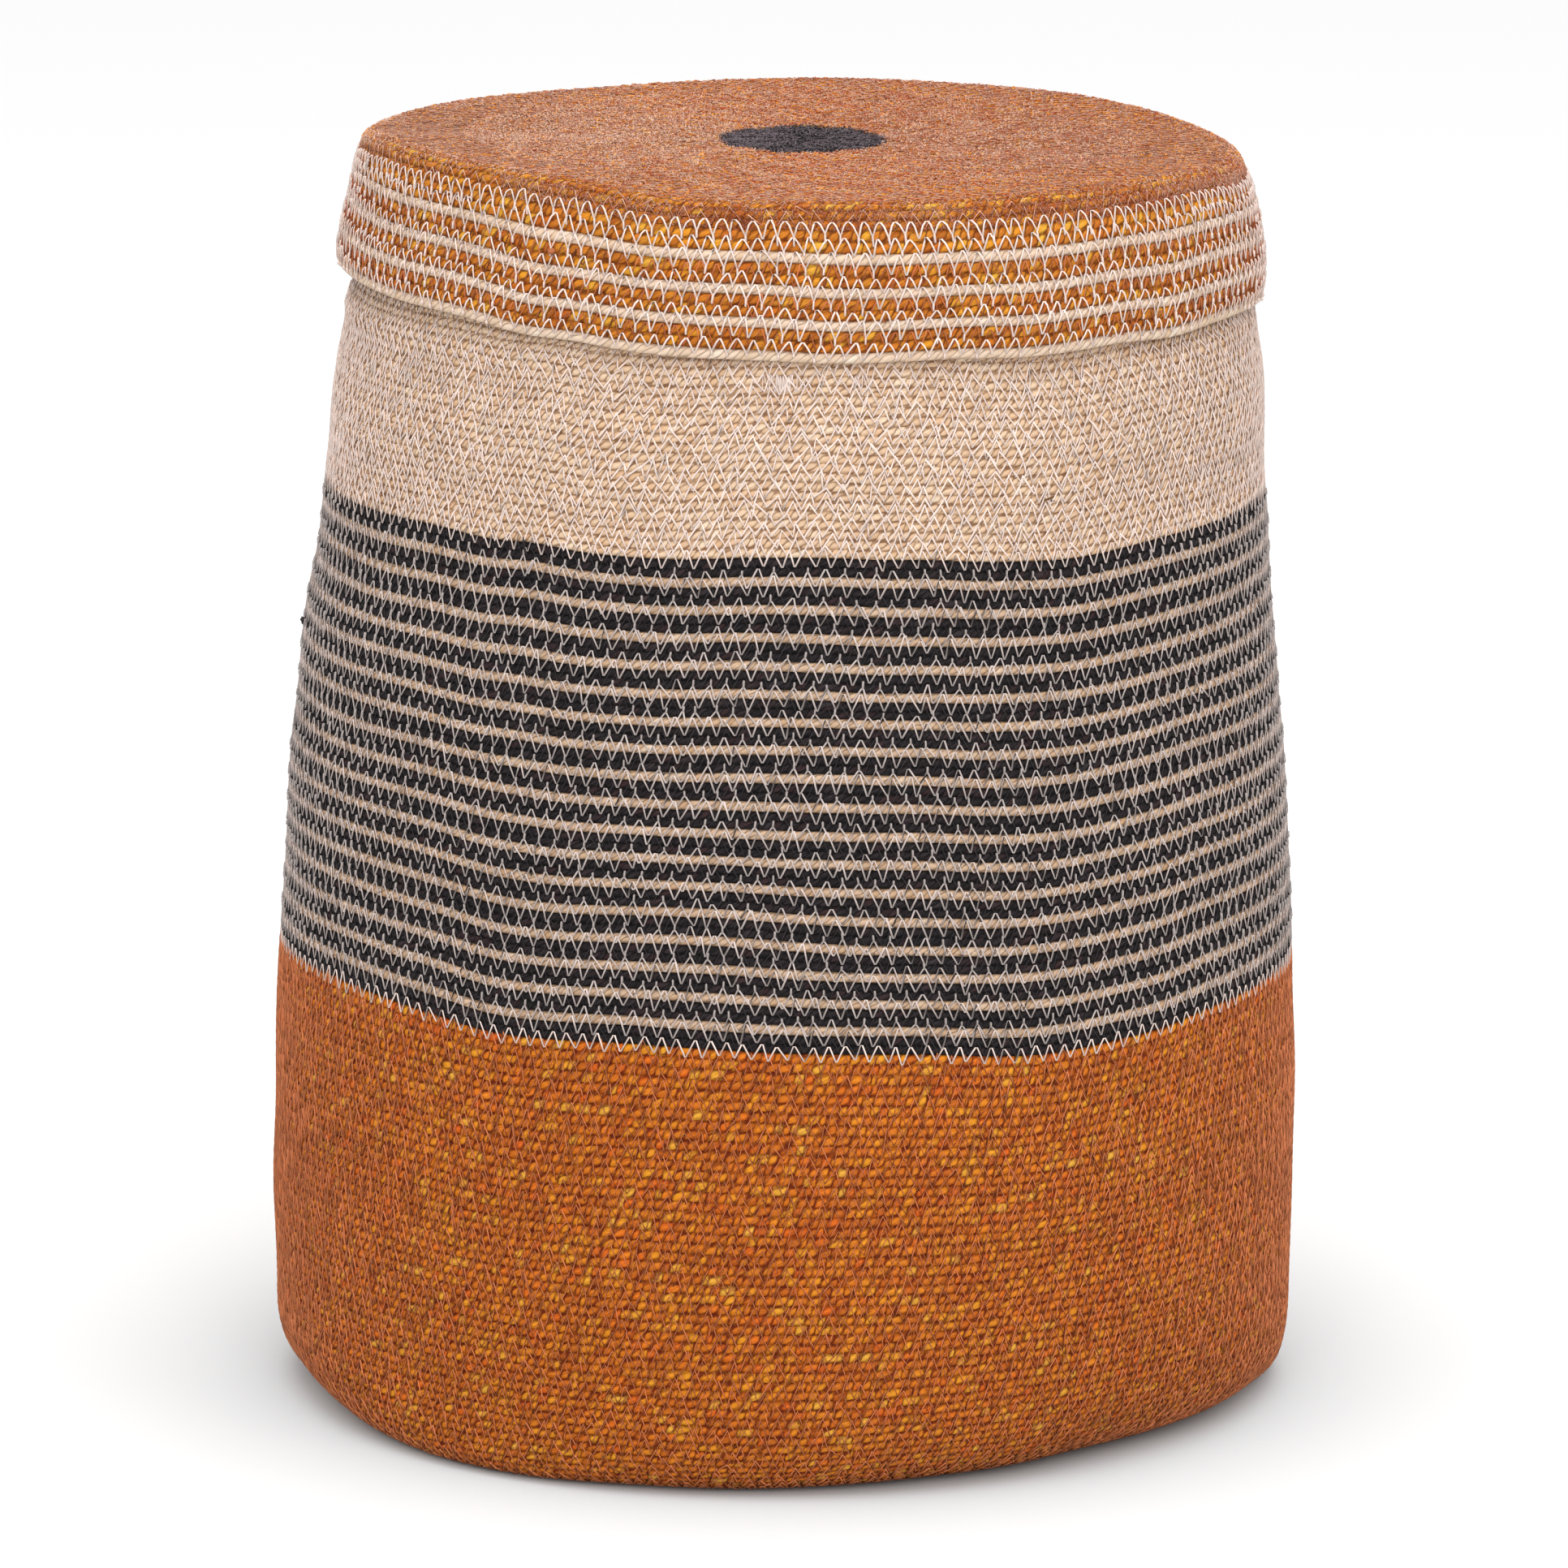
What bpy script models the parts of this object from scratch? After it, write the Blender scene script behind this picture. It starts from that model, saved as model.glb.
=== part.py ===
# Kiondo basket: a tall round basket of coiled, sewn grass cord, with a cap lid that lifts off.
# Metres, +Z up, the floor at zero and the basket's axis on Z.
import math

import bpy

MM = 0.001

# The cord and its courses
CORD_THICKNESS = 3.2 * MM          # how thick the twisted cord makes a wall
SEAM_GAP = 0.3 * MM                # left between two lengths of cord
COURSE_PITCH = 3.18 * MM           # one turn of cord to the next, in the striped band
GROOVE_DEPTH = 0.5 * MM            # how far the groove between two turns of one cord dips

# The basket, from the floor up
BELLY_RADIUS = 180 * MM            # the wall at its widest
BASE_CORNER_WIDTH = 26 * MM        # how far the bottom's round corner reaches in from the wall
BASE_CORNER_HEIGHT = 33 * MM       # and how high it rises
ORANGE_WALL_HEIGHT = 122 * MM      # the orange wall, from the corner to the first stripe
NATURAL_COURSES = 17               # single natural courses, each between two black ones
BLACK_TURNS = 2                    # turns of cord in each black course
NATURAL_TURNS = 1                  # and in each natural one
UPPER_WALL_HEIGHT = 64.46 * MM     # the natural wall, from the last stripe to the lid's edge
LEDGE_HEIGHT = 3 * MM              # the short slope under the lid's edge
LEDGE_WIDTH = 1.2 * MM             # how much narrower the neck starts than the wall
NECK_TOP_INSET = 2.4 * MM          # from the inside of the lid's shoulder to the neck's top edge

# The lid, from its lower edge up
LID_CLEARANCE = 0.8 * MM           # between the neck's foot and the inside of the rim
LID_PITCH = 3.6 * MM               # one turn of cord to the next, in the rim
LID_NATURAL_COURSES = 4            # single natural courses in the rim
ORANGE_TURNS = 2                   # turns of cord in each orange course between them
TOP_CORD_TURNS = 2                 # straight turns of the rim that belong to the top's own cord
LID_DRAW_IN = 5.8 * MM             # how far the rim leans in, from its edge to the shoulder
SHOULDER_RISE = 3.8 * MM           # from the last straight turn to the shoulder's round
SHOULDER_INNER_RADIUS = 1.8 * MM   # the round of the shoulder, inside
LID_CENTRE_RADIUS = 29 * MM        # the black round in the middle of the top

# Shares of the wall's height above the corner, and of the belly radius there
WALL_SHARES = (
    (0.00, 0.9944),
    (0.15, 1.0000),
    (0.31, 0.9917),
    (0.57, 0.9550),
    (0.73, 0.9260),
    (0.86, 0.9045),
    (1.00, 0.8800),
)
# Shares of the rim's height up to the shoulder, and of the draw-in there
RIM_SHARES = (
    (0.00, 0.00),
    (0.28, -0.09),
    (0.50, 0.17),
    (0.70, 0.48),
    (0.87, 0.74),
    (1.00, 1.00),
)
CORNER_SQUARENESS = 2.5            # exponent of the base corner's curve, where 2 is an ellipse

# How finely the turned pieces are stepped
TURN_STEPS = 32
CORNER_STEPS = 5
SHOULDER_STEPS = 3
WALL_STATION = 36 * MM             # the tallest step of a wall's outline
MERGE_DISTANCE = 0.01 * MM
SHARP_ANGLE = math.radians(40)

ORANGE = (0.50, 0.13, 0.016)
BLACK = (0.014, 0.011, 0.012)
NATURAL = (0.66, 0.47, 0.31)
GRASS_ROUGHNESS = 0.7

# What follows from the sizes above
BLACK_HEIGHT = BLACK_TURNS * COURSE_PITCH
NATURAL_HEIGHT = NATURAL_TURNS * COURSE_PITCH
BAND_FOOT_HEIGHT = BASE_CORNER_HEIGHT + ORANGE_WALL_HEIGHT
BAND_TOP_HEIGHT = BAND_FOOT_HEIGHT + NATURAL_COURSES * (BLACK_HEIGHT + NATURAL_HEIGHT) + BLACK_HEIGHT
LID_FOOT_HEIGHT = BAND_TOP_HEIGHT + UPPER_WALL_HEIGHT
LEDGE_FOOT_HEIGHT = LID_FOOT_HEIGHT - LEDGE_HEIGHT
NECK_FOOT_RADIUS = BELLY_RADIUS * WALL_SHARES[-1][1] - LEDGE_WIDTH

LID_NATURAL_HEIGHT = NATURAL_TURNS * LID_PITCH
LID_ORANGE_HEIGHT = ORANGE_TURNS * LID_PITCH
TOP_CORD_HEIGHT = (
    LID_FOOT_HEIGHT + LID_NATURAL_COURSES * LID_NATURAL_HEIGHT
    + (LID_NATURAL_COURSES - 1) * LID_ORANGE_HEIGHT
)
SHOULDER_OUTER_RADIUS = SHOULDER_INNER_RADIUS + CORD_THICKNESS
SHOULDER_HEIGHT = TOP_CORD_HEIGHT + TOP_CORD_TURNS * LID_PITCH + SHOULDER_RISE
LID_TOP_HEIGHT = SHOULDER_HEIGHT + SHOULDER_OUTER_RADIUS
LID_EDGE_RADIUS = NECK_FOOT_RADIUS + LID_CLEARANCE + CORD_THICKNESS
SHOULDER_RADIUS = LID_EDGE_RADIUS - LID_DRAW_IN
NECK_TOP_HEIGHT = LID_TOP_HEIGHT - CORD_THICKNESS - SEAM_GAP
NECK_TOP_RADIUS = SHOULDER_RADIUS - CORD_THICKNESS - NECK_TOP_INSET


def curve_through(table, place):
    """Value at place on a smooth curve through (place, value) pairs in rising order."""
    last = len(table) - 1

    def slope(i):
        before, after = table[max(i - 1, 0)], table[min(i + 1, last)]
        return (after[1] - before[1]) / (after[0] - before[0])

    i = 0
    while i < last - 1 and place > table[i + 1][0]:
        i += 1
    (x0, y0), (x1, y1) = table[i], table[i + 1]
    width = x1 - x0
    t = (place - x0) / width
    rise = t * t * (3 - 2 * t)
    lead = t * (1 - t) * (1 - t)
    trail = t * t * (t - 1)
    return y0 + (y1 - y0) * rise + width * (slope(i) * lead + slope(i + 1) * trail)


def wall_radius(height):
    """Outer radius of the basket's wall, from the base corner up to the ledge."""
    share = (height - BASE_CORNER_HEIGHT) / (LEDGE_FOOT_HEIGHT - BASE_CORNER_HEIGHT)
    return BELLY_RADIUS * curve_through(WALL_SHARES, share)


def rim_radius(height):
    """Outer radius of the lid's rim, from its lower edge up to the shoulder."""
    share = (height - LID_FOOT_HEIGHT) / (SHOULDER_HEIGHT - LID_FOOT_HEIGHT)
    return LID_EDGE_RADIUS - LID_DRAW_IN * curve_through(RIM_SHARES, share)


def stations(low, high, step):
    """Even heights from low to high, no further apart than step."""
    count = max(1, math.ceil((high - low) / step))
    return [low + (high - low) * i / count for i in range(count + 1)]


def material(name, colour):
    made = bpy.data.materials.new(name + "_grass")
    made.use_nodes = True
    shader = made.node_tree.nodes["Principled BSDF"]
    shader.inputs["Base Color"].default_value = (*colour, 1)
    shader.inputs["Roughness"].default_value = GRASS_ROUGHNESS
    shader.inputs["Metallic"].default_value = 0
    return made


def place(obj, collection, colour, parent):
    obj.data.materials.append(material(obj.name, colour))
    obj.parent = parent
    collection.objects.link(obj)


def turned(name, outline, collection, colour, closed=True, parent=None):
    """A turned piece. Its outline of (radius, height) runs down the outer side."""
    foot = min(height for radius, height in outline)
    points = [(radius, 0, height - foot) for radius, height in outline]
    edges = [(i, i + 1) for i in range(len(points) - 1)]
    if closed:
        edges.append((len(points) - 1, 0))
    mesh = bpy.data.meshes.new(name)
    mesh.from_pydata(points, edges, [])
    obj = bpy.data.objects.new(name, mesh)
    screw = obj.modifiers.new("turn", "SCREW")
    screw.axis = "Z"
    screw.angle = 2 * math.pi
    screw.steps = TURN_STEPS
    screw.render_steps = TURN_STEPS
    screw.use_merge_vertices = True
    screw.merge_threshold = MERGE_DISTANCE
    obj.location.z = foot - (parent.location.z if parent else 0)
    place(obj, collection, colour, parent)


def course_outline(radius_at, low, high, turns):
    """One course of cord, turns high, with a groove outside between two turns."""
    outer = [(radius_at(high), high)]
    for i in range(turns - 1, 0, -1):
        middle = low + (high - low) * i / turns
        outer.append((radius_at(middle) - GROOVE_DEPTH, middle))
    outer.append((radius_at(low), low))
    inner = [(radius_at(low) - CORD_THICKNESS, low), (radius_at(high) - CORD_THICKNESS, high)]
    return outer + inner


def base_corner(inset):
    """The base's rounded corner, from the flat bottom outwards and up, inset by a wall."""
    flat = wall_radius(BASE_CORNER_HEIGHT) - BASE_CORNER_WIDTH
    width = BASE_CORNER_WIDTH - inset
    height = BASE_CORNER_HEIGHT - inset
    power = 2 / CORNER_SQUARENESS
    points = []
    for i in range(CORNER_STEPS):
        angle = math.pi / 2 * i / CORNER_STEPS
        rise = height * (1 - math.cos(angle) ** power)
        points.append((flat + width * math.sin(angle) ** power, inset + rise))
    return points


def orange_base_and_wall(collection):
    """One long cord: a flat spiral for the bottom, turned up into the lower wall."""
    heights = stations(BASE_CORNER_HEIGHT, BAND_FOOT_HEIGHT - SEAM_GAP, WALL_STATION)
    outer = base_corner(0) + [(wall_radius(h), h) for h in heights]
    inner = base_corner(CORD_THICKNESS) + [(wall_radius(h) - CORD_THICKNESS, h) for h in heights]
    outline = [(0, CORD_THICKNESS)] + inner + outer[::-1] + [(0, 0)]
    turned("orange_base_and_wall", outline, collection, ORANGE, closed=False)


def striped_band(collection):
    """Black courses of two turns with single natural courses between them, each its own cord."""
    low = BAND_FOOT_HEIGHT
    for i in range(NATURAL_COURSES + 1):
        high = low + BLACK_HEIGHT
        outline = course_outline(wall_radius, low, high - SEAM_GAP, BLACK_TURNS)
        turned(f"black_course_{i + 1:02d}", outline, collection, BLACK)
        low = high
        if i < NATURAL_COURSES:
            high = low + NATURAL_HEIGHT
            outline = course_outline(wall_radius, low, high - SEAM_GAP, NATURAL_TURNS)
            turned(f"natural_course_{i + 1:02d}", outline, collection, NATURAL)
            low = high


def natural_upper_wall(collection):
    """The plain upper wall, and the neck that leans in under the lid."""
    heights = stations(BAND_TOP_HEIGHT, LEDGE_FOOT_HEIGHT, WALL_STATION)
    outer = [(wall_radius(h), h) for h in heights]
    outer += [(NECK_FOOT_RADIUS, LID_FOOT_HEIGHT), (NECK_TOP_RADIUS, NECK_TOP_HEIGHT)]
    inner = [(radius - CORD_THICKNESS, height) for radius, height in outer]
    turned("natural_upper_wall", outer[::-1] + inner, collection, NATURAL)


def lid_rim(collection, parent):
    """Natural and orange courses of the rim, by turns, from its lower edge up."""
    low = LID_FOOT_HEIGHT
    for i in range(LID_NATURAL_COURSES):
        high = low + LID_NATURAL_HEIGHT
        outline = course_outline(rim_radius, low, high - SEAM_GAP, NATURAL_TURNS)
        turned(f"lid_natural_course_{i + 1}", outline, collection, NATURAL, parent=parent)
        low = high
        if i < LID_NATURAL_COURSES - 1:
            high = low + LID_ORANGE_HEIGHT
            outline = course_outline(rim_radius, low, high - SEAM_GAP, ORANGE_TURNS)
            turned(f"lid_orange_course_{i + 1}", outline, collection, ORANGE, parent=parent)
            low = high


def shoulder_round(radius):
    """The lid's shoulder from its side up to its top, on the shoulder's own centre."""
    points = []
    for i in range(SHOULDER_STEPS + 1):
        angle = math.pi / 2 * i / SHOULDER_STEPS
        across = SHOULDER_RADIUS - SHOULDER_OUTER_RADIUS + radius * math.cos(angle)
        points.append((across, SHOULDER_HEIGHT + radius * math.sin(angle)))
    return points


def lid_orange_top(collection, parent):
    """The lid's flat spiral, round shoulder and first turns of its rim, from one cord."""
    heights = stations(TOP_CORD_HEIGHT, SHOULDER_HEIGHT, TOP_CORD_TURNS * LID_PITCH)[:-1]
    hole = LID_CENTRE_RADIUS + SEAM_GAP
    outer = [(rim_radius(h), h) for h in heights] + shoulder_round(SHOULDER_OUTER_RADIUS)
    outer.append((hole, LID_TOP_HEIGHT))
    inner = [(rim_radius(h) - CORD_THICKNESS, h) for h in heights]
    inner += shoulder_round(SHOULDER_INNER_RADIUS)
    inner.append((hole, LID_TOP_HEIGHT - CORD_THICKNESS))
    turned("lid_orange_top", outer[::-1] + inner, collection, ORANGE, parent=parent)


def lid_black_centre(collection, parent):
    """The black coil that the lid's top starts from."""
    bpy.ops.mesh.primitive_cylinder_add(
        vertices=TURN_STEPS, radius=LID_CENTRE_RADIUS, depth=CORD_THICKNESS)
    obj = bpy.context.object
    obj.name = "lid_black_centre"
    obj.data.name = obj.name
    obj.data.shade_smooth()
    obj.data.set_sharp_from_angle(angle=SHARP_ANGLE)
    for old in obj.users_collection:
        old.objects.unlink(obj)
    obj.location = (0, 0, LID_TOP_HEIGHT - CORD_THICKNESS / 2 - parent.location.z)
    place(obj, collection, BLACK, parent)


def lid_axis(collection):
    """The lid slides up along Z from where it rests, on the neck's top edge."""
    empty = bpy.data.objects.new("lid_axis", None)
    empty.location.z = NECK_TOP_HEIGHT
    empty.empty_display_type = "SINGLE_ARROW"
    empty.empty_display_size = NECK_TOP_RADIUS
    collection.objects.link(empty)
    return empty


def main():
    for old in list(bpy.data.objects):
        bpy.data.objects.remove(old)
    collection = bpy.data.collections.new("kiondo_basket")
    bpy.context.scene.collection.children.link(collection)
    orange_base_and_wall(collection)
    striped_band(collection)
    natural_upper_wall(collection)
    axis = lid_axis(collection)
    lid_rim(collection, axis)
    lid_orange_top(collection, axis)
    lid_black_centre(collection, axis)


main()
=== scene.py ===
import math
from functools import partial

import bpy
import numpy as np
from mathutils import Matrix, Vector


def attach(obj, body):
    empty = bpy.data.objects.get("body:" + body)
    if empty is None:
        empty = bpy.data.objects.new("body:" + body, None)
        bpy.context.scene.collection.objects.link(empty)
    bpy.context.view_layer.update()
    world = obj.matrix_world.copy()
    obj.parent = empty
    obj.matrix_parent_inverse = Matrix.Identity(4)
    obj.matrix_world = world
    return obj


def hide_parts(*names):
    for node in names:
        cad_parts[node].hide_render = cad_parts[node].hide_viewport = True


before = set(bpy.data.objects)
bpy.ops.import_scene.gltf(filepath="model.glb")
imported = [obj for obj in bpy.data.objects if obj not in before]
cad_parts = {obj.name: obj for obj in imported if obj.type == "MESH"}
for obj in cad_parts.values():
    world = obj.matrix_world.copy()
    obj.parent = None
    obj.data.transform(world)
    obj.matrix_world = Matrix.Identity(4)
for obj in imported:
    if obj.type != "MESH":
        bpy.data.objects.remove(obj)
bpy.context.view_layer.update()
print("frame loaded")

mm = 0.001  # everything below is worked out in millimetres and made metres in the meshes


# outlines, as the CAD has them

basketForm = {
    "bellyRadius": 180,
    "cornerWidth": 26, "cornerHeight": 33, "cornerPower": 2.5,
    "looseness": (0.4, 1.0, 1.7),       # the tightest corner round the foot, the plain one and the loosest
    "bandFoot": 155, "bandTop": 323.54,
    "ledgeFoot": 385, "lidFoot": 388,
    "neckFootRadius": 157.2, "neckTopRadius": 149.8, "neckTop": 432.6,
    "wallShares": ((0, .9944), (.15, 1), (.31, .9917), (.57, .9550), (.73, .9260), (.86, .9045), (1, .88)),
    "wall": 3.2,
}
lidForm = {
    "foot": 388, "edgeRadius": 161.2, "drawIn": 5.8,
    "shoulder": 435, "round": 5, "top": 440,
    "rimShares": ((0, 0), (.28, -.09), (.5, .17), (.7, .48), (.87, .74), (1, 1)),
    "rimPitch": 3.6, "rimRows": 12,
    "blackRadius": 29,
}
outlineStep = 0.25


def throughTable(table, place):
    # smooth curve through (place, value) pairs: cubic Hermite spans with finite-difference slopes
    xs, ys = np.array(table, float).T
    slopes = np.empty_like(ys)
    slopes[1:-1] = (ys[2:] - ys[:-2]) / (xs[2:] - xs[:-2])
    slopes[0] = (ys[1] - ys[0]) / (xs[1] - xs[0])
    slopes[-1] = (ys[-1] - ys[-2]) / (xs[-1] - xs[-2])
    i = np.clip(np.searchsorted(xs, place) - 1, 0, len(xs) - 2)
    width = xs[i + 1] - xs[i]
    t = (place - xs[i]) / width
    rise = t * t * (3 - 2 * t)
    bend = slopes[i] * t * (1 - t) ** 2 + slopes[i + 1] * t * t * (t - 1)
    return ys[i] + (ys[i + 1] - ys[i]) * rise + width * bend


def makeProfile(r, z):
    # an outline measured along its own length, with the direction that faces out at each point
    length = np.concatenate([[0], np.cumsum(np.hypot(np.diff(r), np.diff(z)))])
    s = np.arange(0, length[-1], outlineStep)
    s = np.append(s, length[-1])
    r, z = np.interp(s, length, r), np.interp(s, length, z)
    dr, dz = np.gradient(r, s), np.gradient(z, s)
    size = np.hypot(dr, dz)
    return {"s": s, "r": r, "z": z, "outR": dz / size, "outZ": -dr / size, "end": s[-1]}


def basketProfile(looseness=1.0, fullLength=None):
    # from the middle of the bottom, round a superellipse corner, up the wall and the neck;
    # a looser corner is wider and higher, and what it saves in length is made up on the flat bottom
    f = basketForm
    width, height = f["cornerWidth"] * looseness, f["cornerHeight"] * looseness
    flat = f["bellyRadius"] * f["wallShares"][0][1] - width
    t = np.linspace(0, math.pi / 2, 60)
    power = 2 / f["cornerPower"]
    cornerR = flat + width * np.sin(t) ** power
    cornerZ = height * (1 - np.maximum(np.cos(t), 0) ** power)
    wallZ = np.linspace(height, f["ledgeFoot"], 300)[1:]
    share = np.maximum((wallZ - f["cornerHeight"]) / (f["ledgeFoot"] - f["cornerHeight"]), 0)
    wallR = f["bellyRadius"] * throughTable(f["wallShares"], share)
    r = np.concatenate([[0], cornerR, wallR, [f["neckFootRadius"], f["neckTopRadius"]]])
    z = np.concatenate([[0], cornerZ, wallZ, [f["lidFoot"], f["neckTop"]]])
    made = makeProfile(r, z)
    if fullLength:
        onFlat = (made["z"] < 1e-6) & (made["r"] <= flat)
        made["s"] = made["s"] + fullLength - made["end"]
        made["s"][onFlat] = made["r"][onFlat] / flat * made["s"][onFlat][-1]
        made["end"] = fullLength
    return made


def lidProfile():
    # from the rim's lower edge up, round the shoulder and in to the middle of the top
    f = lidForm
    rimZ = np.linspace(f["foot"], f["shoulder"], 80)
    rimR = f["edgeRadius"] - f["drawIn"] * throughTable(
        f["rimShares"], (rimZ - f["foot"]) / (f["shoulder"] - f["foot"]))
    t = np.linspace(0, math.pi / 2, 24)[1:]
    flat = f["edgeRadius"] - f["drawIn"] - f["round"]
    r = np.concatenate([rimR, flat + f["round"] * np.cos(t), [0]])
    z = np.concatenate([rimZ, f["shoulder"] + f["round"] * np.sin(t), [f["top"]]])
    return makeProfile(r, z)


basket = basketProfile()
basket["body"] = "basket"
basket["kinds"] = [basketProfile(looseness, basket["end"]) for looseness in basketForm["looseness"]]
lid = lidProfile()
lid["body"] = "lid"
lid["tilted"] = True       # the cap sits a little askew on the neck


def lengthAt(profile, height):
    # how far along its outline a profile first reaches a height
    i = int(np.argmax(profile["z"] >= height - 1e-9))
    j = max(i - 1, 0)
    return float(np.interp(height, profile["z"][[j, i]], profile["s"][[j, i]]))


# how the real one leans and wavers

# angles are degrees round from the front, to the right as seen from there
handMade = {
    "waver": 0.30,        # how far a turn strays up and down
    "swell": 0.40,        # and in and out
    "still": 12,          # nearer the floor than this the strays fade, so that the bottom stays flat
    "swellFrom": 40, "widerFrom": 120,   # and nearer the axis than these
    # the height that a lift starts to grow from, and how much higher it is whole
    "footRise": (40, 115), "bandRise": (165, 150), "topRise": (412, 26),
    "lidRadius": 155,
    "corner": ((-180, 1), (-140, 1), (-110, .7), (-90, .92), (-78, 1.2), (-66, 1.08), (-54, .77), (-42, .55),
               (-30, .55), (-18, .79), (-6, .92), (6, 1.15), (18, 1.38), (30, 1.5), (42, 1.68), (54, 1.56),
               (66, 1.36), (78, 1.1), (90, .65), (110, .6), (140, 1), (180, 1)),
    "bandFootLift": ((-180, 1), (-90, 4.5), (-58, 5.6), (-49, 5.0), (-42, 4.0), (-35, 1.6), (-28, 1.5),
                     (-18, 3.0), (-8, 3.1), (3, 1.7), (15, 0), (21, -1.7), (27, -3.1), (33, -3.2),
                     (40, -2.2), (47, -1.3), (56, 1.2), (90, 1), (180, 1)),
    "bandTopLift": ((-180, 0), (-90, -.8), (-60, 0), (-48, 1.0), (-40, .2), (-33, 1.0), (-26, -.2),
                    (-14, .1), (-6, 1.5), (4, 1.4), (10, .4), (16, -.3), (22, -1.9), (28, -3.0),
                    (35, -3.9), (43, -3.0), (51, -1.9), (90, -1), (180, 0)),
    "rimLift": ((-180, 0), (-150, 2), (-120, 6), (-90, 10.5), (-60, 9.4), (-50, 9.3), (-43, 8.4), (-36, 6.4),
                (-29, 6.2), (-20, 4.3), (-12, 3.9), (-4, 3.9), (4, 2.8), (12, 2.7), (20, 3.0), (28, 2.2),
                (36, 2.4), (43, 2.8), (52, 1.8), (63, 2.4), (90, -.5), (120, 0), (180, 0)),
    "topLift": ((-180, -1.2), (-150, -1.6), (-120, .4), (-105, 1.6), (-90, 4.4), (-75, 8.2), (-60, 9.8),
                (-45, 9.4), (-30, 8.0), (-18, 5.4), (0, 4.6), (18, 3.9), (38, 3.4), (60, 2.6), (80, -1.2),
                (105, -2.6), (130, -1.0), (150, -.6), (180, -1.2)),
    "topMiddle": 1.0,
    # height, and how much wider it is there, and how far to the right
    "wider": ((0, 0), (33, -.5), (68, -.7), (110, -.4), (155, -.3), (190, .4), (226, 1.3), (244, .7),
              (262, .8), (279, .6), (296, .1), (315, 0), (332, -.2), (350, .75), (365, .5), (378, -.6),
              (388, -.4), (394, -.7), (400, -1.3), (412, -1.8), (425, -1.5), (435, -2.0), (440, -2.2)),
    "aside": ((0, 0), (35, 0), (113, .4), (212, .9), (278, 1.0), (312, 3.0), (332, 3.0), (350, 3.1),
              (365, 4.2), (380, 4.8), (388, 4.1), (394, 4.4), (400, 4.9), (412, 5.6), (425, 5.5), (435, 4.7),
              (440, 4.3)),
}

waveCount = 26
waves = np.random.RandomState(7)
waveTurns = waves.randint(1, 15, waveCount) * waves.choice([-1, 1], waveCount)
waveRise = waves.uniform(0.01, 0.16, waveCount)
wavePhase = waves.uniform(0, 2 * math.pi, (2, waveCount))
waveSize = (1.0 / (1 + 0.12 * np.abs(waveTurns))) / math.sqrt(waveCount / 2)


def fromFront(theta):
    # degrees round from the front, between -180 and 180
    return (np.degrees(theta) + 90 + 180) % 360 - 180


def ease(t):
    # smoothly from 0 to 1: three t squared less two t cubed, and level outside
    t = np.clip(t, 0, 1)
    return t * t * (3 - 2 * t)


def inPlace(r, theta, z, tilted=False):
    # a point of the ideal round basket, moved to where the hand-made one has it: a sum of sines
    # wavers each turn, and tables lift, widen and lean it by angle and height
    hand = handMade
    a = theta[..., None] * waveTurns + z[..., None] * waveRise
    up = (np.sin(a + wavePhase[0]) * waveSize).sum(-1)
    out = (np.sin(a + wavePhase[1]) * waveSize).sum(-1)
    free = np.clip(z / hand["still"], 0, 1)
    angle = fromFront(theta)
    share = np.clip(r / hand["lidRadius"], 0, 1.05) ** 2

    def lifted(table):
        return throughTable(hand[table], angle)

    def risen(stretch):
        start, over = hand[stretch]
        return ease((z - start) / over)

    if tilted:
        rim = lifted("rimLift") * share
        top = lifted("topLift") * share + hand["topMiddle"] * (1 - share)
        lift = rim + (top - rim) * risen("topRise")
    else:
        foot = lifted("bandFootLift")
        lift = foot * risen("footRise") + (lifted("bandTopLift") - foot) * risen("bandRise")
    wider = throughTable(hand["wider"], z) * np.clip(r / hand["widerFrom"], 0, 1)
    r = r + wider + hand["swell"] * out * np.clip(r / hand["swellFrom"], 0, 1) * free
    aside = throughTable(hand["aside"], np.clip(z, 0, 440))
    z = z + hand["waver"] * up * free + lift
    return np.stack([r * np.cos(theta) + aside, r * np.sin(theta), z], -1)


def pointOn(profile, theta, s, off):
    # the point at s along the outline and theta round it, off millimetres outside it
    def of(kind):
        r, z, outR, outZ = [np.interp(s, kind["s"], kind[name]) for name in ("r", "z", "outR", "outZ")]
        return r + off * outR, z + off * outZ

    if "kinds" not in profile:
        r, z = of(profile)
    else:                                    # from the tight corner to the loose one by angle
        tight, plain, loose = [of(kind) for kind in profile["kinds"]]
        least, usual, most = basketForm["looseness"]
        looseness = throughTable(handMade["corner"], fromFront(theta))
        toTight = np.clip((usual - looseness) / (usual - least), 0, 1)
        toLoose = np.clip((looseness - usual) / (most - usual), 0, 1)
        r, z = [b + (a - b) * toTight + (c - b) * toLoose for a, b, c in zip(tight, plain, loose)]
    return inPlace(np.maximum(r, 0), theta, z, "tilted" in profile)


def outOf(profile, theta, s):
    # the direction that faces out there: the outline's own, turned to theta
    outR, outZ = [np.interp(s, profile["s"], profile[name]) for name in ("outR", "outZ")]
    return np.stack([outR * np.cos(theta), outR * np.sin(theta), outZ], -1)


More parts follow.
